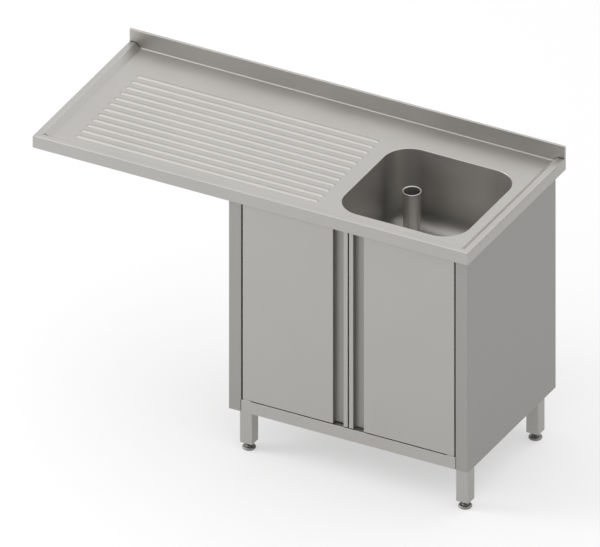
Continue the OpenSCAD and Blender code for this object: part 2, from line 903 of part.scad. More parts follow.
module hinge_pins() {
    collar_z0 = shelf_z + bottom_hinge_plate;
    collar_z1 = door_z0 - bush_flange_thickness - seat_clearance;
    color(steel_bright) both_hands() {
        post(pivot_x, pivot_y, cab_z1, cab_z1 + pin_head, collar_radius);
        post(pivot_x, pivot_y, door_z1 - pin_engagement, cab_z1, pin_radius);
        post(pivot_x, pivot_y, collar_z0, collar_z1, collar_radius);
        post(pivot_x, pivot_y, shelf_z - sheet, door_z0 + pin_engagement, pin_radius);
    }
}

module hinge_screws() {
    z1 = shelf_z + bottom_hinge_plate;
    color(zinc) hinge_screw_places() {
        post(0, 0, z1, z1 + hinge_screw_head, panel_screw * round_head_ratio / 2);
        post(0, 0, shelf_z - sheet - hinge_screw_tip, z1, panel_screw / 2);
    }
}

// Doors, drawn for the right-hand side

// The door's outline moved inwards by t
module door_outline(t) {
    radius = door_edge_radius - t;
    sheet_rect([door_x0 + t, door_y0 + t], [door_x1 - t - radius, door_y1 - t]);
    sheet_rect([door_x0 + t, door_y0 + t + radius], [door_x1 - t, door_y1 - t - radius]);
    for (y = [door_y0 + t + radius, door_y1 - t - radius])
        translate([door_x1 - t - radius, y]) circle(radius);
}

// The grip channel grown by t
module grip_channel(t) {
    sheet_rect([grip_x0 - t, door_y0 - cut], [grip_x1 + t, door_y0 + grip_depth + t]);
}

module door_skin() {
    difference() {
        union() {
            along_z(door_z0, door_z1) difference() {
                door_outline(0);
                grip_channel(0);
                difference() {
                    door_outline(door_sheet);
                    grip_channel(door_sheet);
                }
                sheet_rect([door_x0 + door_return, door_y1 - door_sheet],
                    [door_x1 - door_return, door_y1 + cut]);
            }
            for (z = [door_z0, door_z1 - door_sheet])
                along_z(z, z + door_sheet) difference() {
                    door_outline(0);
                    grip_channel(0);
                }
        }
        for (z = [door_z0, door_z1])
            post(pivot_x, pivot_y, z - door_sheet - cut, z + door_sheet + cut,
                bush_diameter / 2 + running_clearance);
    }
}

module door_liner() {
    along_z(door_z0 + door_sheet, door_z1 - door_sheet) {
        sheet_rect([door_x0 + door_return, door_y1 - door_sheet],
            [door_x1 - door_return, door_y1]);
        sheet_rect([door_x0 + door_return - liner_lap, door_y1 - 2 * door_sheet],
            [door_x1 - door_return + liner_lap, door_y1 - door_sheet]);
    }
}

// A bush that points up from its flange
module bush() {
    rotate_extrude() difference() {
        union() {
            sheet_rect([0, 0], [bush_diameter / 2, bush_length]);
            sheet_rect([0, -bush_flange_thickness], [bush_flange / 2, 0]);
        }
        sheet_rect([-cut, -bush_flange_thickness - cut],
            [pin_radius + running_clearance, bush_length + cut]);
    }
}

module door_bushes() {
    translate([pivot_x, pivot_y, door_z0]) bush();
    translate([pivot_x, pivot_y, door_z1]) mirror([0, 0, 1]) bush();
}

module door_strike() {
    x = cab_middle + catch_offset;
    half = (catch_length - catch_ear) / 2;
    block([x - half, door_y1, catch_z0], [x + half, door_y1 + strike_thickness, rail_z0]);
}

module left_door_skin() {
    color(steel) left_hand() door_skin();
}

module right_door_skin() {
    color(steel) door_skin();
}

module left_door_liner() {
    color(steel_dark) left_hand() door_liner();
}

module right_door_liner() {
    color(steel_dark) door_liner();
}

module left_door_bushes() {
    color(nylon) left_hand() door_bushes();
}

module right_door_bushes() {
    color(nylon) door_bushes();
}

module left_door_strike() {
    color(zinc) left_hand() door_strike();
}

module right_door_strike() {
    color(zinc) door_strike();
}

// Catches and buffers

module magnet_block() {
    half = catch_length / 2 - catch_ear;
    block([-half, catch_y0, catch_z0 + catch_skin],
        [half, catch_y1 - catch_skin, rail_z0 - catch_skin]);
}

module catch_housings() {
    half = catch_length / 2;
    color(nylon) difference() {
        catch_places() difference() {
            block([-half, catch_y0, catch_z0], [half, catch_y1, rail_z0]);
            magnet_block();
        }
        catch_screw_places() post(0, 0, catch_z0 - cut, rail_z0 + cut,
            catch_screw / 2 + bolt_clearance);
    }
}

module catch_magnets() {
    color(black) catch_places() magnet_block();
}

module catch_screws() {
    color(zinc) catch_screw_places() {
        post(0, 0, catch_z0 - screw_head, catch_z0, catch_screw * round_head_ratio / 2);
        post(0, 0, catch_z0, rail_z0 + top_rail_wall + screw_head, catch_screw / 2);
    }
}

module door_buffers() {
    z = cab_z1 - top_rail / 2;
    far = cabinet_width / 2 - post_width - buffer_inset;
    color(black)
        for (side = [-1, 1], x = [buffer_offset, far])
            peg(cab_middle + side * x, z, door_y1 + buffer_clearance, rail_y0,
                buffer_diameter / 2);
}

// Drain and overflow pipe

module drain_body() {
    flange_radius = drain_flange / 2;
    edge = drain_flange_thickness / 2;
    color(steel_bright) translate([drain_x, drain_y, 0]) rotate_extrude() difference() {
        union() {
            sheet_rect([0, flange_z0], [flange_radius - edge, flange_z1]);
            translate([flange_radius - edge, flange_z0 + edge]) circle(edge);
            sheet_rect([0, nut_z0], [shank_radius, flange_z0]);
            sheet_rect([0, tail_z0], [outlet_radius, nut_z0]);
        }
        sheet_rect([-cut, tail_z0 - cut], [bore_radius, flange_z1 + cut]);
    }
}

module drain_ring(z0, z1, inner, outer) {
    translate([drain_x, drain_y, z0]) difference() {
        cylinder(h = z1 - z0, r = outer);
        translate([0, 0, -cut]) cylinder(h = z1 - z0 + 2 * cut, r = inner);
    }
}

module drain_gasket() {
    color(black) drain_ring(bowl_floor_z, flange_z0, drain_hole_radius,
        drain_flange / 2 - drain_flange_thickness);
}

module drain_washer() {
    color(black) drain_ring(washer_z0, bowl_floor_z - bowl_sheet, drain_hole_radius,
        drain_nut_flats / 2);
}

module drain_nut() {
    color(zinc) difference() {
        hexagon(drain_x, drain_y, nut_z0, washer_z0, drain_nut_flats);
        post(drain_x, drain_y, nut_z0 - cut, washer_z0 + cut, drain_hole_radius);
    }
}

module overflow_pipe() {
    inner = pipe_radius - pipe_wall;
    lip_radius = pipe_lip_diameter / 2;
    lip_edge = pipe_lip_height / 2;
    neck_z = pipe_seal_z1 + pipe_wall;
    color(steel_dark) translate([drain_x, drain_y, 0]) rotate_extrude() difference() {
        union() {
            sheet_rect([0, pipe_seal_z1], [pipe_radius, pipe_z1]);
            sheet_rect([0, pipe_z1 - pipe_lip_height], [lip_radius - lip_edge, pipe_z1]);
            translate([lip_radius - lip_edge, pipe_z1 - lip_edge]) circle(lip_edge);
            sheet_rect([0, flange_z1 - spigot_length], [spigot_radius, pipe_seal_z1]);
        }
        sheet_rect([-cut, flange_z1 - spigot_length - cut],
            [spigot_radius - spigot_wall, pipe_z1]);
        polygon([
            [0, neck_z],
            [spigot_radius - spigot_wall, neck_z],
            [inner, neck_z + pipe_neck],
            [inner, pipe_z1 + cut],
            [0, pipe_z1 + cut]
        ]);
    }
}

module overflow_seal() {
    color(black) drain_ring(pipe_seal_z0, pipe_seal_z1, bore_radius, pipe_radius);
}

worktop();
bowl();
front_stiffener();
rear_stiffener();
cross_stiffeners();
left_side_panel();
right_side_panel();
back_panel();
back_panel_screws();
bottom_shelf();
front_top_rail();
rear_top_rail();
left_base_rail();
right_base_rail();
worktop_bolts();
worktop_nuts();
top_hinge_plates();
bottom_hinge_plates();
hinge_pins();
hinge_screws();
catch_housings();
catch_magnets();
catch_screws();
door_buffers();
left_door_skin();
left_door_liner();
left_door_bushes();
left_door_strike();
right_door_skin();
right_door_liner();
right_door_bushes();
right_door_strike();
leg(leg_left_x, leg_front_y);  // front_left_leg
leg(leg_right_x, leg_front_y);  // front_right_leg
leg(leg_left_x, leg_rear_y);  // rear_left_leg
leg(leg_right_x, leg_rear_y);  // rear_right_leg
leg_insert(leg_left_x, leg_front_y);  // front_left_insert
leg_insert(leg_right_x, leg_front_y);  // front_right_insert
leg_insert(leg_left_x, leg_rear_y);  // rear_left_insert
leg_insert(leg_right_x, leg_rear_y);  // rear_right_insert
leg_bolts();
stem(leg_left_x, leg_front_y);  // front_left_stem
stem(leg_right_x, leg_front_y);  // front_right_stem
stem(leg_left_x, leg_rear_y);  // rear_left_stem
stem(leg_right_x, leg_rear_y);  // rear_right_stem
foot(leg_left_x, leg_front_y);  // front_left_foot
foot(leg_right_x, leg_front_y);  // front_right_foot
foot(leg_left_x, leg_rear_y);  // rear_left_foot
foot(leg_right_x, leg_rear_y);  // rear_right_foot
drain_body();
drain_gasket();
drain_washer();
drain_nut();
overflow_pipe();
overflow_seal();
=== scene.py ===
"""A free-standing sink cabinet in satin stainless steel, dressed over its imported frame."""
import math

import bmesh
import bpy
from mathutils import Matrix, Vector
from mathutils.geometry import tessellate_polygon


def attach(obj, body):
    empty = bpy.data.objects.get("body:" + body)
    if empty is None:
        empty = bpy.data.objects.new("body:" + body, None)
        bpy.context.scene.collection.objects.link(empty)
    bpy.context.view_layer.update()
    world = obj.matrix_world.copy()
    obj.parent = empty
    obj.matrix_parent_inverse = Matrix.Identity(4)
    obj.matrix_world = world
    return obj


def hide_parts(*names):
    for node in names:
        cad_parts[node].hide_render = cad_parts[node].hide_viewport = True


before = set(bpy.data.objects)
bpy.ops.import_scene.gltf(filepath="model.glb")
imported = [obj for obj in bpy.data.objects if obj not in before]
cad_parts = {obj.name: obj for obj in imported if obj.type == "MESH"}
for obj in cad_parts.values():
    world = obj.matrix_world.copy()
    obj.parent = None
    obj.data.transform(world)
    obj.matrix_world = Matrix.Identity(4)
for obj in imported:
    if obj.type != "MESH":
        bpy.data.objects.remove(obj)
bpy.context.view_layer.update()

MM = 0.001
CORNER_NAMES = ("front_left", "front_right", "rear_left", "rear_right")


# Materials

def material(name, base, metallic, rough, grain, mottle, bump, painted_shade=0.0, reach=0.03):
    """A Principled material whose colour, roughness and bump come from a stretched grain and a soft mottle.
    grain is (x, y, z) cycles per metre, mottle the soft variation's cycles per metre. The value after bump is
    painted shade: how much darker an occlusion node paints the colour in folds and hollows narrower than
    reach, in metres."""
    mat = bpy.data.materials.new(name)
    mat.use_nodes = True
    nt = mat.node_tree
    bsdf = nt.nodes["Principled BSDF"]
    bsdf.inputs["Metallic"].default_value = metallic
    coord = nt.nodes.new("ShaderNodeTexCoord")
    stretch = nt.nodes.new("ShaderNodeMapping")
    stretch.inputs["Scale"].default_value = grain
    nt.links.new(coord.outputs["Object"], stretch.inputs["Vector"])
    lines = nt.nodes.new("ShaderNodeTexNoise")
    lines.inputs["Scale"].default_value = 1.0
    lines.inputs["Detail"].default_value = 3.0
    nt.links.new(stretch.outputs["Vector"], lines.inputs["Vector"])
    cloud = nt.nodes.new("ShaderNodeTexNoise")
    cloud.inputs["Scale"].default_value = mottle
    cloud.inputs["Detail"].default_value = 2.0
    nt.links.new(coord.outputs["Object"], cloud.inputs["Vector"])
    both = nt.nodes.new("ShaderNodeMath")
    both.operation = "ADD"
    nt.links.new(lines.outputs["Fac"], both.inputs[0])
    nt.links.new(cloud.outputs["Fac"], both.inputs[1])
    tone = nt.nodes.new("ShaderNodeValToRGB")
    half = nt.nodes.new("ShaderNodeMath")
    half.operation = "MULTIPLY"
    half.inputs[1].default_value = 0.5
    nt.links.new(both.outputs[0], half.inputs[0])
    nt.links.new(half.outputs[0], tone.inputs["Fac"])
    tone.color_ramp.elements[0].position = 0.3
    tone.color_ramp.elements[1].position = 0.7
    tone.color_ramp.elements[0].color = [c * 0.965 for c in base] + [1]
    tone.color_ramp.elements[1].color = [min(1, c * 1.035) for c in base] + [1]
    nt.links.new(tone.outputs["Color"], bsdf.inputs["Base Color"])
    # Painted shade: an occlusion node darkens the colour in folds, creases and hollows, where shade would
    # fall.
    if painted_shade:
        occlusion = nt.nodes.new("ShaderNodeAmbientOcclusion")
        occlusion.only_local = True
        occlusion.samples = 8
        occlusion.inputs["Distance"].default_value = reach
        shade = nt.nodes.new("ShaderNodeMapRange")
        shade.inputs["From Min"].default_value = 0.3
        shade.inputs["From Max"].default_value = 1.0
        shade.inputs["To Min"].default_value = 1.0 - painted_shade
        shade.inputs["To Max"].default_value = 1.0
        nt.links.new(occlusion.outputs["AO"], shade.inputs["Value"])
        darker = nt.nodes.new("ShaderNodeMix")
        darker.data_type = "RGBA"
        darker.blend_type = "MULTIPLY"
        darker.inputs["Factor"].default_value = 1.0
        nt.links.new(tone.outputs["Color"], darker.inputs["A"])
        nt.links.new(shade.outputs["Result"], darker.inputs["B"])
        nt.links.new(darker.outputs["Result"], bsdf.inputs["Base Color"])
    spread = nt.nodes.new("ShaderNodeMapRange")
    spread.inputs["From Min"].default_value = 0.3
    spread.inputs["From Max"].default_value = 0.7
    spread.inputs["To Min"].default_value = rough - 0.04
    spread.inputs["To Max"].default_value = rough + 0.04
    nt.links.new(half.outputs[0], spread.inputs["Value"])
    nt.links.new(spread.outputs["Result"], bsdf.inputs["Roughness"])
    relief = nt.nodes.new("ShaderNodeBump")
    relief.inputs["Strength"].default_value = 0.6
    relief.inputs["Distance"].default_value = bump
    nt.links.new(lines.outputs["Fac"], relief.inputs["Height"])
    nt.links.new(relief.outputs["Normal"], bsdf.inputs["Normal"])
    return mat


ALONG, UPRIGHT, FINE = (9, 700, 700), (700, 700, 9), (500, 500, 500)
STEEL = (0.46, 0.448, 0.429)
# Painted shade: a darker copy of the upright steel for the side panels and the back panel, standing in for the
# shade on the sides.
SHADED_SIDE_STEEL = (0.372, 0.366, 0.355)
TOP_STEEL = (0.445, 0.433, 0.415)
# The values after bump paint shade into folds, creases and hollows, such as rib feet, grip channels, bowl
# corners and feet.
MATERIALS = {
    "satin_along": material("satin_along", TOP_STEEL, 1.0, 0.44, ALONG, 5, 0.00002, 0.97, 0.005),
    "satin_upright": material("satin_upright", STEEL, 1.0, 0.55, UPRIGHT, 5, 0.00002, 0.6),
    "satin_shaded_side": material("satin_shaded_side", SHADED_SIDE_STEEL, 1.0, 0.55, UPRIGHT, 5, 0.00002, 0.6),
    "bowl": material("bowl", (0.57, 0.555, 0.533), 1.0, 0.46, FINE, 8, 0.00001, 0.92, 0.135),
    "pipe": material("pipe", (0.56, 0.545, 0.523), 1.0, 0.45, UPRIGHT, 12, 0.00001, 0.6, 0.03),
    "mill": material("mill", (0.46, 0.45, 0.435), 1.0, 0.5, ALONG, 7, 0.00003),
    "turned": material("turned", (0.31, 0.306, 0.298), 1.0, 0.55, FINE, 30, 0.00002, 0.7, 0.006),
    "bright": material("bright", (0.62, 0.61, 0.60), 1.0, 0.25, FINE, 20, 0.00001),
    "zinc": material("zinc", (0.52, 0.53, 0.54), 1.0, 0.4, FINE, 60, 0.00002),
    "pale_nylon": material("pale_nylon", (0.72, 0.71, 0.67), 0.0, 0.5, FINE, 40, 0.00003),
    "black_nylon": material("black_nylon", (0.03, 0.03, 0.03), 0.0, 0.45, FINE, 40, 0.00003),
    "rubber": material("rubber", (0.025, 0.025, 0.025), 0.0, 0.75, FINE, 50, 0.00005),
    "magnet": material("magnet", (0.04, 0.04, 0.042), 0.3, 0.4, FINE, 50, 0.00002),
}
OF_NODE = {
    "satin_along": ["worktop", "bottom_shelf", "front_top_rail", "rear_top_rail"],
    "satin_upright": [
        "left_side_panel", "right_side_panel", "back_panel", "left_door_skin", "right_door_skin",
        "left_door_liner", "right_door_liner",
        "front_left_leg", "front_right_leg", "rear_left_leg", "rear_right_leg",
    ],
    "bowl": ["bowl"],
    "pipe": ["overflow_pipe"],
    "mill": ["front_stiffener", "rear_stiffener", "cross_stiffeners", "left_base_rail", "right_base_rail"],
    "bright": ["hinge_pins", "drain_body"],
    "turned": [f"{corner}_{part}" for corner in CORNER_NAMES for part in ("stem", "foot")],
    "zinc": [
        "back_panel_screws", "worktop_bolts", "worktop_nuts", "top_hinge_plates", "bottom_hinge_plates",
        "hinge_screws", "catch_screws", "left_door_strike", "right_door_strike", "leg_bolts", "drain_nut",
    ],
    "pale_nylon": ["catch_housings", "left_door_bushes", "right_door_bushes"],
    "black_nylon": [f"{corner}_insert" for corner in CORNER_NAMES],
    "rubber": ["door_buffers", "drain_gasket", "drain_washer", "overflow_seal"],
    "magnet": ["catch_magnets"],
}
for key, names in OF_NODE.items():
    for name in names:
        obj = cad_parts[name]
        obj.data.materials.clear()
        obj.data.materials.append(MATERIALS[key])


# Mesh helpers. Lengths are in millimetres until a piece is made.

def steps(a, b, n):
    return [a + (b - a) * i / n for i in range(n + 1)]


def arc(cx, cy, radius, start, end, n):
    """Points on a circle, angles in degrees."""
    return [
        (cx + radius * math.cos(math.radians(t)), cy + radius * math.sin(math.radians(t)))
        for t in steps(start, end, n)
    ]


class Shape:
    """Grids and flat faces that are joined where their points meet."""

    def __init__(self):
        self.points, self.faces = [], []

    def grid(self, rows, loop=False, skip=None):
        base, wide = len(self.points), len(rows[0])
        for row in rows:
            self.points += row
        for i in range(len(rows) - 1):
            for j in range(wide if loop else wide - 1):
                if skip and skip(i, j):
                    continue
                k = (j + 1) % wide
                a, b = base + i * wide, base + (i + 1) * wide
                self.faces.append((a + j, a + k, b + k, b + j))
        return self

    def flat(self, points):
        base = len(self.points)
        self.points += points
        self.faces.append(tuple(range(base, base + len(points))))
        return self

    def mirrored(self, x):
        other = Shape()
        other.points = [(2 * x - p[0], p[1], p[2]) for p in self.points]
        other.faces = [tuple(reversed(f)) for f in self.faces]
        return other


# Outlines of a turned profile's rows. A profile is a list of (radius, height) or (radius, height, outline).
ROUND, HEX, STAR = 0, 1, 2


def profiled(shape, profile, centre=(0, 0, 0), axis=(0, 0, 1), n=48, closed=False):
    """A profile turned about an axis through centre; its rows may be round, hexagonal or star-shaped."""
    turn = Vector((0, 0, 1)).rotation_difference(Vector(axis)).to_matrix()
    rows = []
    for row in profile + (profile[:1] if closed else []):
        radius, height, outline = (*row, ROUND)[:3]
        loop = []
        for i in range(n):
            t = 2 * math.pi * i / n
            r = radius
            if outline == HEX:
                r = radius / math.cos(t % (math.pi / 3) - math.pi / 6)
            elif outline == STAR:
                r = radius * (1 + 0.14 * math.cos(6 * t))
            point = turn @ Vector((r * math.cos(t), r * math.sin(t), height))
            loop.append(tuple(point + Vector(centre)))
        rows.append(loop)
    return shape.grid(rows, loop=True)


def caps(shape, loops, z):
    """A flat face at a height, with holes."""
    rings = [[Vector((x, y, 0)) for x, y in ring] for ring in loops]
    flat = [p for ring in rings for p in ring]
    for tri in tessellate_polygon(rings):
        shape.flat([(flat[i].x, flat[i].y, z) for i in tri])


def rounded(x, y, half_x, half_y, radius, n=5):
    """A rectangle with round corners."""
    loop = []
    for quarter, (sx, sy) in enumerate(((1, 1), (-1, 1), (-1, -1), (1, -1))):
        start = 90 * quarter
        loop += arc(x + sx * (half_x - radius), y + sy * (half_y - radius), radius, start, start + 90, n)
    return loop


def circle(x, y, radius, n=32):
    return arc(x, y, radius, 0, 360, n)[:-1]


def prism(shape, outline, z0, z1, holes=()):
    """A flat plate between two heights, with holes, as a closed shape."""
    for ring in (outline, *holes):
        shape.grid([[(x, y, z0) for x, y in ring], [(x, y, z1) for x, y in ring]], loop=True)
    for z in (z0, z1):
        caps(shape, (outline, *holes), z)
    return shape


def piece(name, shape, look, body, nodes=(), thick=0.0, facing=None, bevel=0.0, smooth=32.0):
    """Makes a shown piece from a shape. thick turns a surface into sheet, away from the side that faces
    the direction facing; bevel breaks its sharp edges."""
    bm = bmesh.new()
    verts = [bm.verts.new([c * MM for c in p]) for p in shape.points]
    for f in shape.faces:
        bm.faces.new([verts[i] for i in f])
    bmesh.ops.remove_doubles(bm, verts=bm.verts, dist=2e-6)
    bmesh.ops.dissolve_degenerate(bm, edges=bm.edges, dist=1e-7)
    bmesh.ops.recalc_face_normals(bm, faces=bm.faces)
    if facing:
        aim = Vector(facing)
        far = max(bm.faces, key=lambda f: (round(f.calc_center_median().dot(aim), 5), abs(f.normal.dot(aim))))
        if far.normal.dot(aim) < 0:
            bmesh.ops.reverse_faces(bm, faces=bm.faces)
    mesh = bpy.data.meshes.new(name)
    bm.to_mesh(mesh)
    bm.free()
    obj = bpy.data.objects.new(name, mesh)
    bpy.context.scene.collection.objects.link(obj)
    if thick:
        sheet = obj.modifiers.new("sheet", "SOLIDIFY")
        sheet.thickness = thick * MM
        sheet.offset = -1
        sheet.use_even_offset = True
    if bevel:
        edge = obj.modifiers.new("edge", "BEVEL")
        edge.width = bevel * MM
        edge.segments = 2
        edge.limit_method = "ANGLE"
        edge.angle_limit = math.radians(40)
    bpy.context.view_layer.update()
    if thick or bevel:
        done = bpy.data.meshes.new_from_object(obj.evaluated_get(bpy.context.evaluated_depsgraph_get()))
        obj.modifiers.clear()
        obj.data = done
    obj.data.shade_smooth()
    obj.data.set_sharp_from_angle(angle=math.radians(smooth))
    even = obj.modifiers.new("normals", "WEIGHTED_NORMAL")
    even.keep_sharp = True
    obj.data.materials.clear()
    obj.data.materials.append(MATERIALS[look])
    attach(obj, body)
    if nodes:
        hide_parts(*nodes)
    return obj


# Worktop

X0, X1, Y0, Y1 = -700.0, 700.0, -300.0, 300.0
PLATE, RIM, APRON, SPLASH = 850.0, 865.0, 825.0, 905.0
# The backsplash's front, and the radii at its foot and of its folded top
SPLASH_Y, SPLASH_BEND, SPLASH_FOLD = 292.0, 5.0, 1.5
EDGE_BEND, HEM = 3.0, 1.6
# The rim is level up to RIM_FLAT from the worktop's edge, then slopes down to the plate at RIM_END.
# Its two bends start and end at A0 and A1, and at B0 and B1.
RIM_FLAT, RIM_END, RIM_BEND = 20.0, 38.0, 3.0
RIM_RISE = RIM - PLATE
RIM_SLOPE = math.atan2(RIM_RISE, RIM_END - RIM_FLAT)
BEND_REACH = RIM_BEND * math.tan(RIM_SLOPE / 2)
BEND_A0, BEND_A1 = RIM_FLAT - BEND_REACH, RIM_FLAT + BEND_REACH * math.cos(RIM_SLOPE)
BEND_B0, BEND_B1 = RIM_END - BEND_REACH * math.cos(RIM_SLOPE), RIM_END + BEND_REACH
BOWL_X, BOWL_Y, BOWL_FLOOR = 428.0, -31.0, 600.0
BOWL_HALF, BOWL_CORNER, ROLL = 200.0, 80.0, 2.0
RIB_YS = [150 - 33.75 * i for i in range(12)]
RIB_X0, RIB_X1 = -593.5, 169.5
RIB_HALF, RIB_RISE, RIB_FOOT = 8.5, 3.5, 1.0
RIB_TURN = 2 * math.atan(RIB_RISE / RIB_HALF)
RIB_CREST = RIB_HALF / math.sin(RIB_TURN) - RIB_FOOT
RIB_BREAK = RIB_CREST * math.sin(RIB_TURN)


def rim_height(d):
    """Height above the plate at the distance d from the worktop's edge."""
    if d < BEND_A0:
        return RIM_RISE
    if d < BEND_A1:
        return RIM_RISE - RIM_BEND + math.sqrt(RIM_BEND ** 2 - (d - BEND_A0) ** 2)
    if d < BEND_B0:
        return (RIM_END - d) * math.tan(RIM_SLOPE)
    if d < BEND_B1:
        return RIM_BEND - math.sqrt(RIM_BEND ** 2 - (BEND_B1 - d) ** 2)
    return 0.0


def edge_height(d):
    """Height of the rounded edge at the distance d from it."""
    if d >= EDGE_BEND:
        return RIM
    return RIM - EDGE_BEND + math.sqrt(max(0.0, EDGE_BEND ** 2 - (EDGE_BEND - d) ** 2))


def rib_height(x, y):
    """An arc over the crest and an arc that leads to the plate, at the distance from the rib's spine."""
    yc = min(RIB_YS, key=lambda c: abs(c - y))
    d = math.hypot(x - min(max(x, RIB_X0), RIB_X1), y - yc)
    if d < RIB_BREAK:
        return math.sqrt(RIB_CREST ** 2 - d * d) - RIB_CREST + RIB_RISE
    if d < RIB_HALF:
        return RIB_FOOT - math.sqrt(RIB_FOOT ** 2 - (RIB_HALF - d) ** 2)
    return 0.0


def top_height(x, y):
    """Height of the worktop's surface, with its rims, ribs and the bend at the backsplash's foot."""
    ds = (x - X0, X1 - x, y - Y0)
    z = PLATE + max(rim_height(d) for d in ds) + rib_height(x, y)
    into_bend = y - SPLASH_Y + SPLASH_BEND
    if into_bend > 0:
        z = max(z, PLATE + SPLASH_BEND - math.sqrt(max(0.0, SPLASH_BEND ** 2 - into_bend ** 2)))
    return min([z] + [edge_height(d) for d in ds])


# Lines of the worktop's grid, as distances from its edge and from a rib's spine
EDGE = [EDGE_BEND - EDGE_BEND * math.cos(math.radians(t)) for t in steps(0, 90, 6)]
RIM_LINES = EDGE + [5, 17.5] + steps(BEND_A0, BEND_A1, 4) + [24, 34] + steps(BEND_B0, BEND_B1, 4) + [41]
RIB_LINES = steps(0, RIB_BREAK, 6)[1:] + steps(RIB_BREAK, RIB_HALF, 4)[1:] + [RIB_HALF + 1.2]
end_lines = sorted(-d for d in RIB_LINES) + [0, 4]
HOLE_HALF = BOWL_HALF + ROLL + 12
HOLE_X = (BOWL_X - HOLE_HALF, BOWL_X + HOLE_HALF)
HOLE_Y = (BOWL_Y - HOLE_HALF, BOWL_Y + HOLE_HALF)
xs = [X0 + d for d in RIM_LINES] + [-640, -620] + [RIB_X0 + d for d in end_lines] + steps(-560, 140, 12)
xs += [RIB_X1 - d for d in reversed(end_lines)] + [190, 202]
FLAT = BOWL_HALF - BOWL_CORNER
xs += steps(HOLE_X[0], BOWL_X - FLAT, 13) + steps(BOWL_X - FLAT, BOWL_X + FLAT, 7)[1:]
xs += steps(BOWL_X + FLAT, HOLE_X[1], 13)[1:] + [650]
xs += [X1 - d for d in reversed(RIM_LINES)]
ys = [Y0 + d for d in RIM_LINES] + [-252, HOLE_Y[0]]
for yc in reversed(RIB_YS):
    ys += [yc - d for d in reversed(RIB_LINES)] + [yc] + [yc + d for d in RIB_LINES]
ys += [HOLE_Y[1], 200, 220, 240, 262, 275, 284]
ys += [SPLASH_Y + SPLASH_BEND * (math.sin(math.radians(t)) - 1) for t in steps(0, 90, 6)]


def in_hole(i, j):
    return HOLE_Y[0] <= ys[i] < HOLE_Y[1] and HOLE_X[0] <= xs[j] < HOLE_X[1]


def to_opening(x, y):
    """The nearest point of the bowl's opening in the plate, at the outer edge of its roll."""
    half, radius = BOWL_HALF + ROLL, BOWL_CORNER + ROLL
    cx = min(max(x, BOWL_X - FLAT), BOWL_X + FLAT)
    cy = min(max(y, BOWL_Y - FLAT), BOWL_Y + FLAT)
    if x == cx or y == cy:
        return (BOWL_X + math.copysign(half, x - BOWL_X) if y == cy else x,
                BOWL_Y + math.copysign(half, y - BOWL_Y) if x == cx else y)
    d = math.hypot(x - cx, y - cy)
    return cx + (x - cx) * radius / d, cy + (y - cy) * radius / d


top = Shape()
top.grid([[(x, y, top_height(x, y)) for x in xs] for y in ys], skip=in_hole)
hole_xs = [x for x in xs if HOLE_X[0] <= x <= HOLE_X[1]]
hole_ys = [y for y in ys if HOLE_Y[0] <= y <= HOLE_Y[1]]
frame_loop = [(x, HOLE_Y[0]) for x in hole_xs[:-1]] + [(HOLE_X[1], y) for y in hole_ys[:-1]]
frame_loop += [(x, HOLE_Y[1]) for x in reversed(hole_xs[1:])] + [(HOLE_X[0], y) for y in reversed(hole_ys[1:])]
rings = []
for s in (0, 0.35, 0.7, 0.92, 1):
    row = []
    for x, y in frame_loop:
        qx, qy = to_opening(x, y)
        row.append((x + (qx - x) * s, y + (qy - y) * s, PLATE))
    rings.append(row)
top.grid(rings, loop=True)
# Apron and hem as (inset, height)
APRON_ROWS = [(0, RIM - EDGE_BEND), (0, 850), (0, 838), (0, 828), (0, APRON + HEM)]
APRON_ROWS += [(HEM + a, APRON + HEM + b) for a, b in arc(0, 0, HEM, 180, 360, 8)[1:]] + [(2 * HEM, 838.6)]


def squeeze(c, inset, half):
    """Moves a line near a corner inwards, so that the hems meet in a mitre."""
    if abs(c) <= half - RIM_END:
        return c
    share = (RIM_END - inset) / RIM_END
    return math.copysign(half - RIM_END + (abs(c) - half + RIM_END) * share, c)


side_ys = ys + [Y1]
top.grid([[(squeeze(x, o, X1), Y0 + o, z) for x in xs] for o, z in APRON_ROWS])
for sign in (-1, 1):
    top.grid([[(sign * (X1 - o), squeeze(y, o, Y1), z) for y in side_ys] for o, z in APRON_ROWS])
top.grid([[(squeeze(x, o, X1), Y1 - o, z) for x in xs] for o, z in APRON_ROWS])
# Backsplash, a folded sheet with a round top edge
splash_foot = {x: top_height(x, SPLASH_Y) for x in xs}
RISE = [0, 0.12, 0.5, 0.9, 1]
back_foot, fold_foot = RIM - EDGE_BEND, SPLASH - SPLASH_FOLD
back_zs = [back_foot + (fold_foot - back_foot) * t for t in RISE]
front_arc = arc(SPLASH_Y + SPLASH_FOLD, fold_foot, SPLASH_FOLD, 180, 90, 4)
back_arc = [(SPLASH_Y + Y1 - y, z) for y, z in front_arc]
top.grid([[(x, SPLASH_Y, splash_foot[x] + (fold_foot - splash_foot[x]) * t) for x in xs] for t in RISE])
top.grid([[(x, y, z) for x in xs] for y, z in front_arc + list(reversed(back_arc))])
top.grid([[(x, Y1, z) for x in xs] for z in back_zs])
for x in (X0, X1):
    top.grid([[(x, SPLASH_Y, z) for z in back_zs], [(x, Y1, z) for z in back_zs]])
    top.grid([[(x, y, z) for y, z in front_arc], [(x, y, z) for y, z in back_arc]])
piece("worktop_sheet", top, "satin_along", "cabinet", ["worktop"], thick=1.45,
      facing=(0, 0, 1))


# Bowl

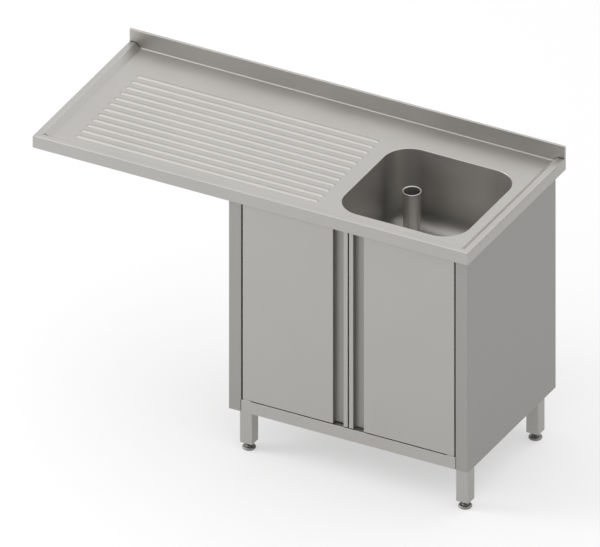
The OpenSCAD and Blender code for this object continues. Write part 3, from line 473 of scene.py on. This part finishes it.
def round_ring(inset, z, n=16, side=7):
    """A loop round the bowl at an inset from its walls, corner arcs of n steps and sides of side steps."""
    half, radius = BOWL_HALF - inset, max(BOWL_CORNER - inset, 0.5)
    reach = half - radius
    turns = ((1, 1), (-1, 1), (-1, -1), (1, -1))
    loop = []
    for quarter, (sx, sy) in enumerate(turns):
        a = 90 * quarter
        loop += arc(BOWL_X + sx * reach, BOWL_Y + sy * reach, radius, a, a + 90, n)
        lx, ly = loop[-1]
        nx, ny = turns[(quarter + 1) % 4]
        ex, ey = arc(BOWL_X + nx * reach, BOWL_Y + ny * reach, radius, a + 90, a + 90, 1)[0]
        loop += [(lx + (ex - lx) * t, ly + (ey - ly) * t) for t in steps(0, 1, side)[1:-1]]
    return [(x, y, z) for x, y in loop]


def from_tangents(t):
    """Distances of a unit quarter arc's point at t degrees from the two lines that the arc touches."""
    return 1 - math.cos(math.radians(t)), 1 - math.sin(math.radians(t))


FILLET = 45.0
rows = []
for t in steps(90, 0, 5):
    outwards, downwards = from_tangents(t)
    rows.append(round_ring(-ROLL * outwards, PLATE - ROLL * downwards))
rows += [round_ring(0, z) for z in (842, 800, 745, 690, 649)]
for t in steps(0, 90, 14):
    inwards, above_floor = from_tangents(t)
    rows.append(round_ring(FILLET * inwards, BOWL_FLOOR + FILLET * above_floor))
# The floor, from the fillet to the drain's hole
DRAIN, DRAIN_HOLE = (325.0, 72.0), 25.2
floor_edge = rows[-1]
for s in (0.03, 0.25, 0.5, 0.75, 0.95, 1):
    row = []
    for x, y, z in floor_edge:
        a = math.atan2(y - DRAIN[1], x - DRAIN[0])
        qx, qy = DRAIN[0] + DRAIN_HOLE * math.cos(a), DRAIN[1] + DRAIN_HOLE * math.sin(a)
        row.append((x + (qx - x) * s, y + (qy - y) * s, z))
    rows.append(row)
sink = piece("sink_bowl", Shape().grid(rows, loop=True), "bowl", "cabinet", ["bowl"], thick=1.2,
             facing=(0, 0, 1))
# The weld at its edge is ground and brushed with the worktop
sink.data.materials.append(MATERIALS["satin_along"])
for face in sink.data.polygons:
    face.material_index = int(face.center.z > (PLATE - ROLL) * MM)

# Overflow pipe, lip rolled outwards
PIPE_TOP, LIP = 772.0, 1.5
DRAIN_AT = (*DRAIN, 0)
tube = [(16.95, 585), (19.55, 585), (19.95, 585.4), (19.95, 606.6), (20.2, 607.1), (24.4, 607.1), (25, 607.7)]
tube += [(25, PIPE_TOP - 5.5), (25.3, PIPE_TOP - 4), (25.9, PIPE_TOP - 3.1)]
tube += arc(26, PIPE_TOP - LIP, LIP, -75, 80, 10)
tube += [(25.3, PIPE_TOP - 0.25), (24.5, PIPE_TOP - 0.8), (23.9, PIPE_TOP - 1.7), (23.5, PIPE_TOP - 3.2)]
tube += [(23.5, 616.5), (23.1, 614.9), (17.4, 609.1), (16.95, 608.2)]
piece("overflow_tube", profiled(Shape(), tube, DRAIN_AT, n=72, closed=True), "pipe", "overflow",
      ["overflow_pipe"])


# Bent sheets

def bend_path(points, radii, n=4):
    """A flat path with its corners rounded; radii has one radius for each inner corner."""
    out = [points[0]]
    for i in range(1, len(points) - 1):
        p, q, r = Vector(points[i - 1]), Vector(points[i]), Vector(points[i + 1])
        a, b = (p - q).normalized(), (r - q).normalized()
        turn = math.pi - a.angle(b)
        reach = radii[i - 1] * math.tan(turn / 2)
        start, end = q + a * reach, q + b * reach
        centre = q + (a + b).normalized() * (radii[i - 1] / math.cos(turn / 2))
        va, vb = start - centre, end - centre
        sweep = va.angle_signed(vb)
        for k in range(n + 1):
            t = -sweep * k / n
            out.append((
                centre.x + va.x * math.cos(t) - va.y * math.sin(t),
                centre.y + va.x * math.sin(t) + va.y * math.cos(t),
            ))
    out.append(points[-1])
    return out


def upright(path, heights):
    return [[(x, y, z) for x, y in path] for z in heights]


CAB_X0, CAB_X1, CAB_Y0, CAB_Y1, CAB_Z0, CAB_Z1 = -75.0, 695.0, -288.0, 249.0, 129.0, 828.5
MIDDLE, SHELF, SHEET = 310.0, 168.0, 1.2

# Doors: the skin's surface is drawn for the right-hand side
DOOR_X0, DOOR_X1, DOOR_Y0, DOOR_Y1, DOOR_Z0, DOOR_Z1 = 312.0, 651.0, -288.0, -268.0, 172.0, 821.0
GRIP_X0, GRIP_X1, GRIP_Y = 325.5, 359.5, -271.0
PIVOT = (641.0, -278.0)
corners = [
    (DOOR_X0 + 12, DOOR_Y1), (DOOR_X0, DOOR_Y1), (DOOR_X0, DOOR_Y0), (GRIP_X0, DOOR_Y0), (GRIP_X0, GRIP_Y),
    (GRIP_X1, GRIP_Y), (GRIP_X1, DOOR_Y0), (DOOR_X1, DOOR_Y0), (DOOR_X1, DOOR_Y1), (DOOR_X1 - 12, DOOR_Y1),
]
skin_path = bend_path(corners, [1.4, 1.4, 1.4, 1.2, 1.2, 1.4, 3, 3])
door_levels = [DOOR_Z0, DOOR_Z0 + 1, DOOR_Z0 + 30] + steps(DOOR_Z0 + 100, DOOR_Z1 - 100, 5)
door_levels += [DOOR_Z1 - 30, DOOR_Z1 - 1, DOOR_Z1]
skin = Shape().grid(upright(skin_path, door_levels))
bush_hole = circle(*PIVOT, 7.05)
for z in (DOOR_Z0, DOOR_Z1):
    caps(skin, (skin_path, bush_hole), z)
for side, shape in (("left", skin.mirrored(MIDDLE)), ("right", skin)):
    piece(f"{side}_door_sheet", shape, "satin_upright", f"{side}_door", [f"{side}_door_skin"],
          thick=1.0, facing=(0, -1, 0), bevel=0.35)

# Side panels, with a notch between the upright bends and the top flange
panel = Shape()
post_x, flange_x = CAB_X1 - 40, CAB_X1 - 30
BEND = 2.2
post_corners = [
    (post_x, CAB_Y0 + 38), (post_x, CAB_Y0), (CAB_X1, CAB_Y0), (CAB_X1, CAB_Y1), (flange_x, CAB_Y1),
]
post_path = bend_path(post_corners, [1.8, BEND, BEND], 5)
side_lines = [-284.5, -283, -200, -100, 0, 100, 200, 243, 244.5]
cut_at = max(i for i, p in enumerate(post_path) if p[1] < CAB_Y0 + 3 and p[0] > CAB_X1 - 1)
post_path = post_path[:cut_at + 1] + [(CAB_X1, y) for y in side_lines] + post_path[cut_at + 1:]
levels = [CAB_Z0, 140, SHELF] + steps(230, 770, 5) + [822, 826.3, CAB_Z1]
front_part = [i for i, p in enumerate(post_path) if p[0] < post_x + 1.9 and p[1] > CAB_Y0 - 1]
face_start = max(front_part)


def below_return(i, j):
    return levels[i] < SHELF and j < face_start


def panel_top(i, j):
    """The flange's bend takes the top strip of the side, between the notches."""
    return i == len(levels) - 2 and post_path[j][0] > CAB_X1 - 0.01 and -283.5 < post_path[j][1] < 243.5


def panel_gap(i, j):
    return below_return(i, j) or panel_top(i, j) and post_path[j + 1][1] < 244


panel.grid(upright(post_path, levels), skip=panel_gap)
flange_bend = arc(CAB_X1 - BEND, CAB_Z1 - BEND, BEND, 0, 90, 5)
flange_ys = [y for y in side_lines if -284 < y < 244]
panel.grid([[(x, y, z) for y in flange_ys] for x, z in flange_bend + [(680, CAB_Z1), (flange_x, CAB_Z1)]])
# The side panels take the darker steel with painted shade.
for side, shape in (("left", panel.mirrored(MIDDLE)), ("right", panel)):
    piece(f"{side}_side_sheet", shape, "satin_shaded_side", "cabinet", [f"{side}_side_panel"],
          thick=SHEET, facing=(-1 if side == "left" else 1, 0, 0))

# Shelf with its folded front rail, sides and back
shelf = Shape()
SHELF_X0, SHELF_X1 = CAB_X0 + 40, CAB_X1 - 40
shelf_bend = arc(CAB_Y0 + BEND, SHELF - BEND, BEND, 180, 90, 6)
shelf_front = [(CAB_Y0, CAB_Z0), (CAB_Y0, 150)] + shelf_bend + [(CAB_Y0 + 4, SHELF)]
shelf_xs = [SHELF_X0] + steps(SHELF_X0 + 60, SHELF_X1 - 60, 8) + [SHELF_X1]
shelf.grid([[(x, y, z) for x in shelf_xs] for y, z in shelf_front])
full_xs = [CAB_X0 + SHEET] + shelf_xs + [CAB_X1 - SHEET]
shelf_ys = [CAB_Y0 + 4] + steps(-230, 200, 4) + [CAB_Y1 - 2 * SHEET]
shelf.grid([[(x, y, SHELF) for x in full_xs] for y in shelf_ys])
for x in (full_xs[0], full_xs[-1]):
    shelf.grid([[(x, y, z) for y in shelf_ys] for z in (SHELF, 150, CAB_Z0)])
shelf.grid([[(x, shelf_ys[-1], z) for x in full_xs] for z in (SHELF, 150, CAB_Z0)])
piece("shelf_sheet", shelf, "satin_along", "cabinet", ["bottom_shelf"], thick=SHEET,
      facing=(0, 0, 1))


# Hardware

def thread(radius, start, end, pitch, depth):
    """Rows of a thread between two heights, with its ends chamfered."""
    count = max(1, int(abs(end - start) / pitch))
    rows = [(radius - depth, start)]
    for i in range(count):
        for share, drop in ((0.3, 0), (0.45, 0), (0.85, depth)):
            rows.append((radius - drop, start + (end - start) * (i + share) / count))
    return rows + [(radius - depth, end)]


def hex_head(flats, height):
    """Rows of a chamfered hexagon head that stands on height 0, from its top down."""
    half = flats / 2
    return [(0, height), (half * 0.9, height), (half, height - half * 0.12, HEX), (half, half * 0.1, HEX),
            (half * 0.97, 0), (half * 0.95, 0)]


def pan_head(radius, height, depth):
    """Rows of a low round head with a star recess, from the recess out and down to height 0."""
    return [(0, height - depth), (radius * 0.4, height - depth, STAR), (radius * 0.42, height, STAR),
            (radius * 0.62, height), (radius * 0.9, height * 0.68), (radius, height * 0.3), (radius, 0)]


CORNERS = dict(zip(CORNER_NAMES, ((-21.0, -266.0), (675.0, -266.0), (-21.0, 162.0), (675.0, 162.0))))
foot_profile = [(0, 3), (6.05, 3), (6.05, 12.4), (6.6, 13), (9.4, 13), (10, 12.4), (10, 10.4), (10.7, 9.4)]
foot_profile += [(12.5, 9), (15.3, 9)] + arc(15.5, 4.5, 4.5, 84, -84, 14)
foot_profile += [(15, 0), (11, 0), (10.4, 0.8), (2, 0.8), (0, 0.8)]
stem_profile = [(0, 3), (5.3, 3)] + thread(6, 13.2, 72.4, 1.75, 0.65) + [(5, 73), (0, 73)]
leg_bolt = hex_head(13.2, 5.5) + [(4, 0)] + thread(4, -0.8, -11.6, 1.25, 0.5) + [(3, -12), (0, -12)]
leg_bolts = Shape()
# Lower end of the legs, and the underside of the plate that closes them
LEG_Z0, LEG_CAP = 25, 125
for name, (x, y) in CORNERS.items():
    foot_body = f"{name}_levelling_foot"
    foot = profiled(Shape(), foot_profile, (x, y, 0), n=64)
    piece(f"{name}_foot_turned", foot, "turned", foot_body, [f"{name}_foot"])
    stem = profiled(Shape(), stem_profile, (x, y, 0), n=32)
    piece(f"{name}_stem_threaded", stem, "turned", foot_body, [f"{name}_stem"])
    plug = prism(Shape(), rounded(x, y, 18.45, 18.45, 1.5), LEG_Z0, 50, [circle(x, y, 6.05)])
    piece(f"{name}_insert_moulded", plug, "black_nylon", "cabinet", [f"{name}_insert"],
          bevel=0.5)
    outer, inner = rounded(x, y, 20, 20, 3), rounded(x, y, 18.5, 18.5, 1.5)
    bolt_ys = [y + side * 9 for side in (-1, 1)]
    holes = [circle(x, bolt_y, 4.05, 24) for bolt_y in bolt_ys]
    leg = Shape().grid(upright(outer, (LEG_Z0, 60, 95, CAB_Z0)), loop=True)
    leg.grid(upright(inner, (LEG_Z0, 60, 95, LEG_CAP)), loop=True)
    for ring, bolt_y in zip(holes, bolt_ys):
        leg.grid(upright(ring, (LEG_CAP, CAB_Z0)), loop=True)
        profiled(leg_bolts, leg_bolt, (x, bolt_y, 131), n=36)
    caps(leg, [outer, inner], LEG_Z0)
    caps(leg, [inner, *holes], LEG_CAP)
    caps(leg, [outer, *holes], CAB_Z0)
    piece(f"{name}_leg_tube", leg, "satin_upright", "cabinet", [f"{name}_leg"], bevel=0.3)
piece("leg_bolts_hex", leg_bolts, "zinc", "cabinet", ["leg_bolts"])

# Bolts and screws of the worktop, the back panel, the hinges and the catches
bolts, nuts = Shape(), Shape()
bolt = hex_head(9.9, 4) + [(3, 0)] + thread(3, -0.6, -8.3, 1.0, 0.4) + [(2.4, -8.7), (0, -8.7)]
nut = [(3.02, 0.4), (3.5, 0), (4.6, 0), (4.95, 0.55, HEX), (4.95, 4.45, HEX), (4.6, 5), (3.5, 5), (3.02, 4.6)]
WORKTOP_BOLTS = [(x, y) for x in (-60, 680) for y in (-251, 222)]
for x, y in WORKTOP_BOLTS:
    profiled(bolts, bolt, (x, y, 827.3), (0, 0, -1), n=36)
    profiled(nuts, nut, (x, y, 830), n=36, closed=True)
piece("worktop_bolts_hex", bolts, "zinc", "cabinet", ["worktop_bolts"])
piece("worktop_nuts_hex", nuts, "zinc", "cabinet", ["worktop_nuts"])

panel_screws, hinge_screws, catch_screws = Shape(), Shape(), Shape()
panel_screw = pan_head(3.6, 2, 1.2) + [(2, 0)] + thread(2, -1.3, -8.6, 1.4, 0.5) + [(0.8, -10), (0, -10)]
hinge_screw = pan_head(3.6, 0.6, 0.45) + [(2, 0)] + thread(2, -0.4, -5.6, 1.4, 0.5) + [(0.8, -7.2), (0, -7.2)]
catch_screw = pan_head(2.7, 2, 1.2) + [(1.5, 0)] + thread(1.5, -1, -16.4, 1.1, 0.35)
catch_screw += [(0.6, -17.5), (0, -17.5)]
PANEL_SCREW_XS, PANEL_SCREW_ZS = (-61, 681), steps(208, 768.5, 3)
HINGE_SCREW_XS, HINGE_SCREW_YS = (-11, 631), (-282, -270)
for z in PANEL_SCREW_ZS:
    for x in PANEL_SCREW_XS:
        profiled(panel_screws, panel_screw, (x, CAB_Y1, z), (0, 1, 0), n=36)
for x in HINGE_SCREW_XS:
    for y in HINGE_SCREW_YS:
        profiled(hinge_screws, hinge_screw, (x, y, SHELF + 2), n=36)
for x in (229, 267, 353, 391):
    profiled(catch_screws, catch_screw, (x, -253.7, 784.5), (0, 0, -1), n=36)
piece("back_panel_screws_star", panel_screws, "zinc", "cabinet", ["back_panel_screws"])
piece("hinge_screws_star", hinge_screws, "zinc", "cabinet", ["hinge_screws"])
piece("catch_screws_star", catch_screws, "zinc", "cabinet", ["catch_screws"])

# Hinges: plates, stepped pins and flanged bushes
top_plates, bottom_plates, pins = Shape(), Shape(), Shape()
upper_pin = [(0, 2), (5.6, 2), (6.6, 1.6), (7, 0.9), (7, 0), (4, 0), (4, -19.6), (3.3, -21.3), (2.6, -21.5)]
upper_pin += [(0, -21.5)]
lower_pin = [(0, 16), (2.6, 16), (3.3, 15.8), (4, 14.1), (4, 0.9), (6.6, 0.9), (7, 0.5), (7, 0.2), (6.8, 0)]
lower_pin += [(4, 0), (4, -2.8), (3.6, -3.2), (0, -3.2)]
bush = [(4.05, -0.7), (4.35, -1), (8.1, -1), (8.5, -0.6), (8.5, -0.2), (8.3, 0), (7, 0), (7, 17.4), (6.4, 18)]
bush += [(4.5, 18), (4.05, 17.5)]
for side, x, plate_x, screw_x in (
    ("left", 2 * MIDDLE - PIVOT[0], -18, HINGE_SCREW_XS[0]),
    ("right", PIVOT[0], 638, HINGE_SCREW_XS[1]),
):
    y = PIVOT[1]
    outline = rounded(plate_x, -275.4, 13, 11.4, 2.5)
    pin_hole = circle(x, y, 4.03)
    screw_holes = [circle(screw_x, screw_y, 2.05, 24) for screw_y in HINGE_SCREW_YS]
    prism(top_plates, outline, CAB_Z1 - 3, CAB_Z1, [pin_hole])
    prism(bottom_plates, outline, SHELF, SHELF + 2, [pin_hole] + screw_holes)
    profiled(pins, upper_pin, (x, y, CAB_Z1), n=40)
    profiled(pins, lower_pin, (x, y, SHELF + 2), n=40)
    bushes = Shape()
    profiled(bushes, bush, (x, y, DOOR_Z0), n=40, closed=True)
    profiled(bushes, bush, (x, y, DOOR_Z1), (0, 0, -1), n=40, closed=True)
    piece(f"{side}_bushes_flanged", bushes, "pale_nylon", f"{side}_door", [f"{side}_door_bushes"])
piece("top_hinge_leaves", top_plates, "zinc", "cabinet", ["top_hinge_plates"], bevel=0.35)
piece("bottom_hinge_leaves", bottom_plates, "zinc", "cabinet", ["bottom_hinge_plates"],
      bevel=0.3)
piece("hinge_pins_stepped", pins, "bright", "cabinet", ["hinge_pins"])

# Back panel, a flat sheet with its service opening and screw holes, drawn lying down and set upright
BACK_Z0, BACK_Z1 = 139.0, 827.3
SERVICE_X, SERVICE_Z, SERVICE_WIDE, SERVICE_HIGH, SERVICE_CORNER = 325, 420, 300, 180, 20
back_edge = rounded(MIDDLE, (BACK_Z0 + BACK_Z1) / 2, CAB_X1 - SHEET - MIDDLE, (BACK_Z1 - BACK_Z0) / 2, 1.5)
holes = [rounded(SERVICE_X, SERVICE_Z, SERVICE_WIDE / 2, SERVICE_HIGH / 2, SERVICE_CORNER, 8)]
holes += [circle(x, z, 2.05, 24) for x in PANEL_SCREW_XS for z in PANEL_SCREW_ZS]
panel_back = prism(Shape(), back_edge, CAB_Y1 - 2 * SHEET, CAB_Y1 - SHEET, holes)
panel_back.points = [(x, y, z) for x, z, y in panel_back.points]
# The back panel takes the darker steel with painted shade.
piece("back_panel_sheet", panel_back, "satin_shaded_side", "cabinet", ["back_panel"], bevel=0.25)

# Rubber buffers, domed towards the doors
buffers = Shape()
dome = [(0, 3.7), (2.2, 3.6), (3.7, 3.1), (4.6, 2.2), (5, 1.1), (5, 0), (0, 0)]
for x in (57, 202, 418, 563):
    profiled(buffers, dome, (x, -264, 813.5), (0, -1, 0), n=36)
piece("buffers_domed", buffers, "rubber", "cabinet", ["door_buffers"])

# Drain: threaded body, gasket, washer, hexagon nut and the seal that the overflow pipe stands on
drain_body = [(20, 546.6), (20.6, 546), (23.2, 546), (23.9, 546.8), (23.9, 552)]
drain_body += thread(23.9, 552.4, 584, 2.3, 0.8)[1:-1] + [(23.1, 584.4), (24.2, 584.8)]
drain_body += thread(25.1, 585, 600, 2.3, 0.8) + [(25.1, 601), (25.1, 602), (41.5, 602)]
drain_body += arc(41.5, 603.5, 1.5, -60, 90, 8) + [(26, 604.6), (22, 603.4), (20, 602.2)]
gasket = [
    (25.2, 600.3), (25.5, 600), (39.5, 600), (40, 600.5), (40, 601.5), (39.5, 602), (25.5, 602), (25.2, 601.7),
]
washer = [
    (25.2, 597.1), (25.5, 596.8), (31.5, 596.8), (32, 597.3), (32, 598.3), (31.5, 598.8), (25.5, 598.8),
    (25.2, 598.5),
]
drain_nut = [
    (25.2, 586), (26, 584.8), (30.6, 584.8), (32, 586.4, HEX), (32, 595.2, HEX), (30.6, 596.8), (26, 596.8),
    (25.2, 595.6),
]
seal = [
    (20, 605.6), (20.5, 605.1), (24.5, 605.1), (25, 605.6), (25, 606.6), (24.5, 607.1), (20.5, 607.1),
    (20, 606.6),
]
for name, profile, n, look, body, slot, node in (
    ("drain_body_threaded", drain_body, 72, "bright", "cabinet", "bright_steel", "drain_body"),
    ("drain_gasket_ring", gasket, 64, "rubber", "cabinet", "black_rubber", "drain_gasket"),
    ("drain_washer_ring", washer, 64, "rubber", "cabinet", "black_rubber", "drain_washer"),
    ("drain_nut_hex", drain_nut, 72, "zinc", "cabinet", "plated_steel", "drain_nut"),
    ("overflow_seal_ring", seal, 64, "rubber", "overflow", "black_rubber", "overflow_seal"),
):
    piece(name, profiled(Shape(), profile, DRAIN_AT, n=n, closed=True), look, body, [node])

# The other sheets and blocks stay as the frame has them, with their edges broken
for names, width in (
    (("left_door_liner", "right_door_liner", "left_door_strike", "right_door_strike"), 0.25),
    (("front_top_rail", "rear_top_rail", "front_stiffener", "rear_stiffener", "cross_stiffeners",
      "catch_magnets"), 0.5),
    (("left_base_rail", "right_base_rail", "catch_housings"), 0.7),
):
    for name in names:
        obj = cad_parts[name]
        weld = obj.modifiers.new("weld", "WELD")
        weld.merge_threshold = 0.00001
        edge = obj.modifiers.new("edge", "BEVEL")
        edge.width = width * MM
        edge.segments = 2
        edge.limit_method = "ANGLE"
        edge.angle_limit = math.radians(40)
        edge.harden_normals = True


# Floor, world, lamps and camera

# floor is the floor's colour, and lift how much nearer to white camera, glossy and transmission rays see it.
# The other values give the world's strength by direction. level is the same all round, rise grows towards
# +Z, depth towards +Y, and overhead near the zenith. across is a slope towards +X and its offset. Below the
# heights of low_fades the slopes of low, towards +X and +Y, take its place. least and most bound the sum.
LIGHT = {
    "floor": 0.72, "lift": 0.5,
    "level": 0.03, "rise": 1.5, "depth": 0.36, "overhead": 0.6, "across": (0.27, 0.4),
    "low": (-0.85, -0.5), "low_fades": (0.15, 0.4), "least": 0.15, "most": 1.65,
    "lamps": [("key", (-4.2, -2.2, 2.6), (0, 0, 0.4), 2.5, 142)],
}


def floor_material():
    """Pale floor that keeps shadows; camera, glossy and transmission rays see it lifted towards white."""
    mat = bpy.data.materials.new("floor")
    mat.use_nodes = True
    nt = mat.node_tree
    nt.nodes.remove(nt.nodes["Principled BSDF"])
    matt = nt.nodes.new("ShaderNodeBsdfDiffuse")
    matt.inputs["Color"].default_value = [LIGHT["floor"]] * 3 + [1]
    white = nt.nodes.new("ShaderNodeEmission")
    white.inputs["Strength"].default_value = 1.0
    path = nt.nodes.new("ShaderNodeLightPath")
    seen = None
    for name in ("Is Camera Ray", "Is Glossy Ray", "Is Transmission Ray"):
        if seen is None:
            seen = path.outputs[name]
            continue
        most = nt.nodes.new("ShaderNodeMath")
        most.operation = "MAXIMUM"
        nt.links.new(seen, most.inputs[0])
        nt.links.new(path.outputs[name], most.inputs[1])
        seen = most.outputs[0]
    share = nt.nodes.new("ShaderNodeMath")
    share.operation = "MULTIPLY"
    share.inputs[1].default_value = LIGHT["lift"]
    nt.links.new(seen, share.inputs[0])
    mix = nt.nodes.new("ShaderNodeMixShader")
    nt.links.new(share.outputs[0], mix.inputs["Fac"])
    nt.links.new(matt.outputs[0], mix.inputs[1])
    nt.links.new(white.outputs[0], mix.inputs[2])
    nt.links.new(mix.outputs[0], nt.nodes["Material Output"].inputs["Surface"])
    return mat


floor_mesh = bpy.data.meshes.new("floor")
FAR = 40
floor_mesh.from_pydata([(-FAR, -FAR, 0), (FAR, -FAR, 0), (FAR, FAR, 0), (-FAR, FAR, 0)], [], [(0, 1, 2, 3)])
floor = bpy.data.objects.new("floor", floor_mesh)
bpy.context.scene.collection.objects.link(floor)
floor_mesh.materials.append(floor_material())

world = bpy.data.worlds.new("studio")
bpy.context.scene.world = world
world.use_nodes = True
wt = world.node_tree
wt.nodes["Background"].inputs["Color"].default_value = (1, 1, 1, 1)


def world_math(operation, first, second):
    """A math node of the world; each input is a number or another node's output."""
    node = wt.nodes.new("ShaderNodeMath")
    node.operation = operation
    for socket, value in zip(node.inputs, (first, second)):
        if isinstance(value, (int, float)):
            socket.default_value = value
        else:
            wt.links.new(value, socket)
    return node.outputs[0]


coord = wt.nodes.new("ShaderNodeTexCoord")
axes = wt.nodes.new("ShaderNodeSeparateXYZ")
wt.links.new(coord.outputs["Generated"], axes.inputs[0])
low = wt.nodes.new("ShaderNodeMapRange")
low.interpolation_type = "SMOOTHSTEP"
low.inputs["From Min"].default_value, low.inputs["From Max"].default_value = LIGHT["low_fades"]
low.inputs["To Min"].default_value, low.inputs["To Max"].default_value = 1.0, 0.0
wt.links.new(axes.outputs["Z"], low.inputs["Value"])
sideways = world_math("MULTIPLY", axes.outputs["X"], LIGHT["low"][0])
backward = world_math("MULTIPLY", axes.outputs["Y"], LIGHT["low"][1])
rising = world_math("MULTIPLY", axes.outputs["Z"], LIGHT["rise"])
rising = world_math("ADD", rising, world_math("MULTIPLY", axes.outputs["Y"], LIGHT["depth"]))
overhead = world_math("POWER", world_math("MAXIMUM", axes.outputs["Z"], 0.0), 4.0)
rising = world_math("ADD", rising, world_math("MULTIPLY", overhead, LIGHT["overhead"]))
low_part = world_math("MULTIPLY", world_math("ADD", sideways, backward), low.outputs["Result"])
above = world_math("SUBTRACT", 1.0, low.outputs["Result"])
across = world_math("MULTIPLY", world_math("ADD", axes.outputs["X"], LIGHT["across"][1]), LIGHT["across"][0])
rising = world_math("ADD", rising, world_math("MULTIPLY", across, above))
level = world_math("ADD", world_math("ADD", low_part, rising), LIGHT["level"])
level = world_math("MINIMUM", world_math("MAXIMUM", level, LIGHT["least"]), LIGHT["most"])
wt.links.new(level, wt.nodes["Background"].inputs["Strength"])


def area_lamp(name, place, aim, size, watts):
    data = bpy.data.lights.new(name, "AREA")
    data.shape = "DISK"
    data.size = size
    data.energy = watts
    lamp = bpy.data.objects.new(name, data)
    lamp.location = place
    lamp.rotation_mode = "QUATERNION"
    lamp.rotation_quaternion = (Vector(aim) - Vector(place)).to_track_quat("-Z", "Y")
    bpy.context.scene.collection.objects.link(lamp)


for lamp in LIGHT["lamps"]:
    area_lamp(*lamp)

# The camera's direction, as fitted to the photo's parallel lines, and its place along its own axes
AZIMUTH, ELEVATION = math.radians(27.82), math.radians(31.032)
SIDEWAYS, UPWARDS, AWAY = 0.0023, 0.3801, 4.0
right = Vector((math.cos(AZIMUTH), math.sin(AZIMUTH), 0))
back = Vector((math.cos(ELEVATION) * right.y, -math.cos(ELEVATION) * right.x, math.sin(ELEVATION)))
up = back.cross(right)
camera_data = bpy.data.cameras.new("camera")
camera_data.type = "ORTHO"
IMAGE_WIDTH, PIXELS_PER_METRE = 600, 351.2
camera_data.ortho_scale = IMAGE_WIDTH / PIXELS_PER_METRE
camera_data.clip_start, camera_data.clip_end = 0.1, 60
camera = bpy.data.objects.new("camera", camera_data)
camera.matrix_world = Matrix((right, up, back)).transposed().to_4x4()
camera.location = right * SIDEWAYS + up * UPWARDS + back * AWAY
bpy.context.scene.collection.objects.link(camera)
bpy.context.scene.camera = camera
bpy.context.scene.view_settings.view_transform = "Standard"

bpy.context.view_layer.update()
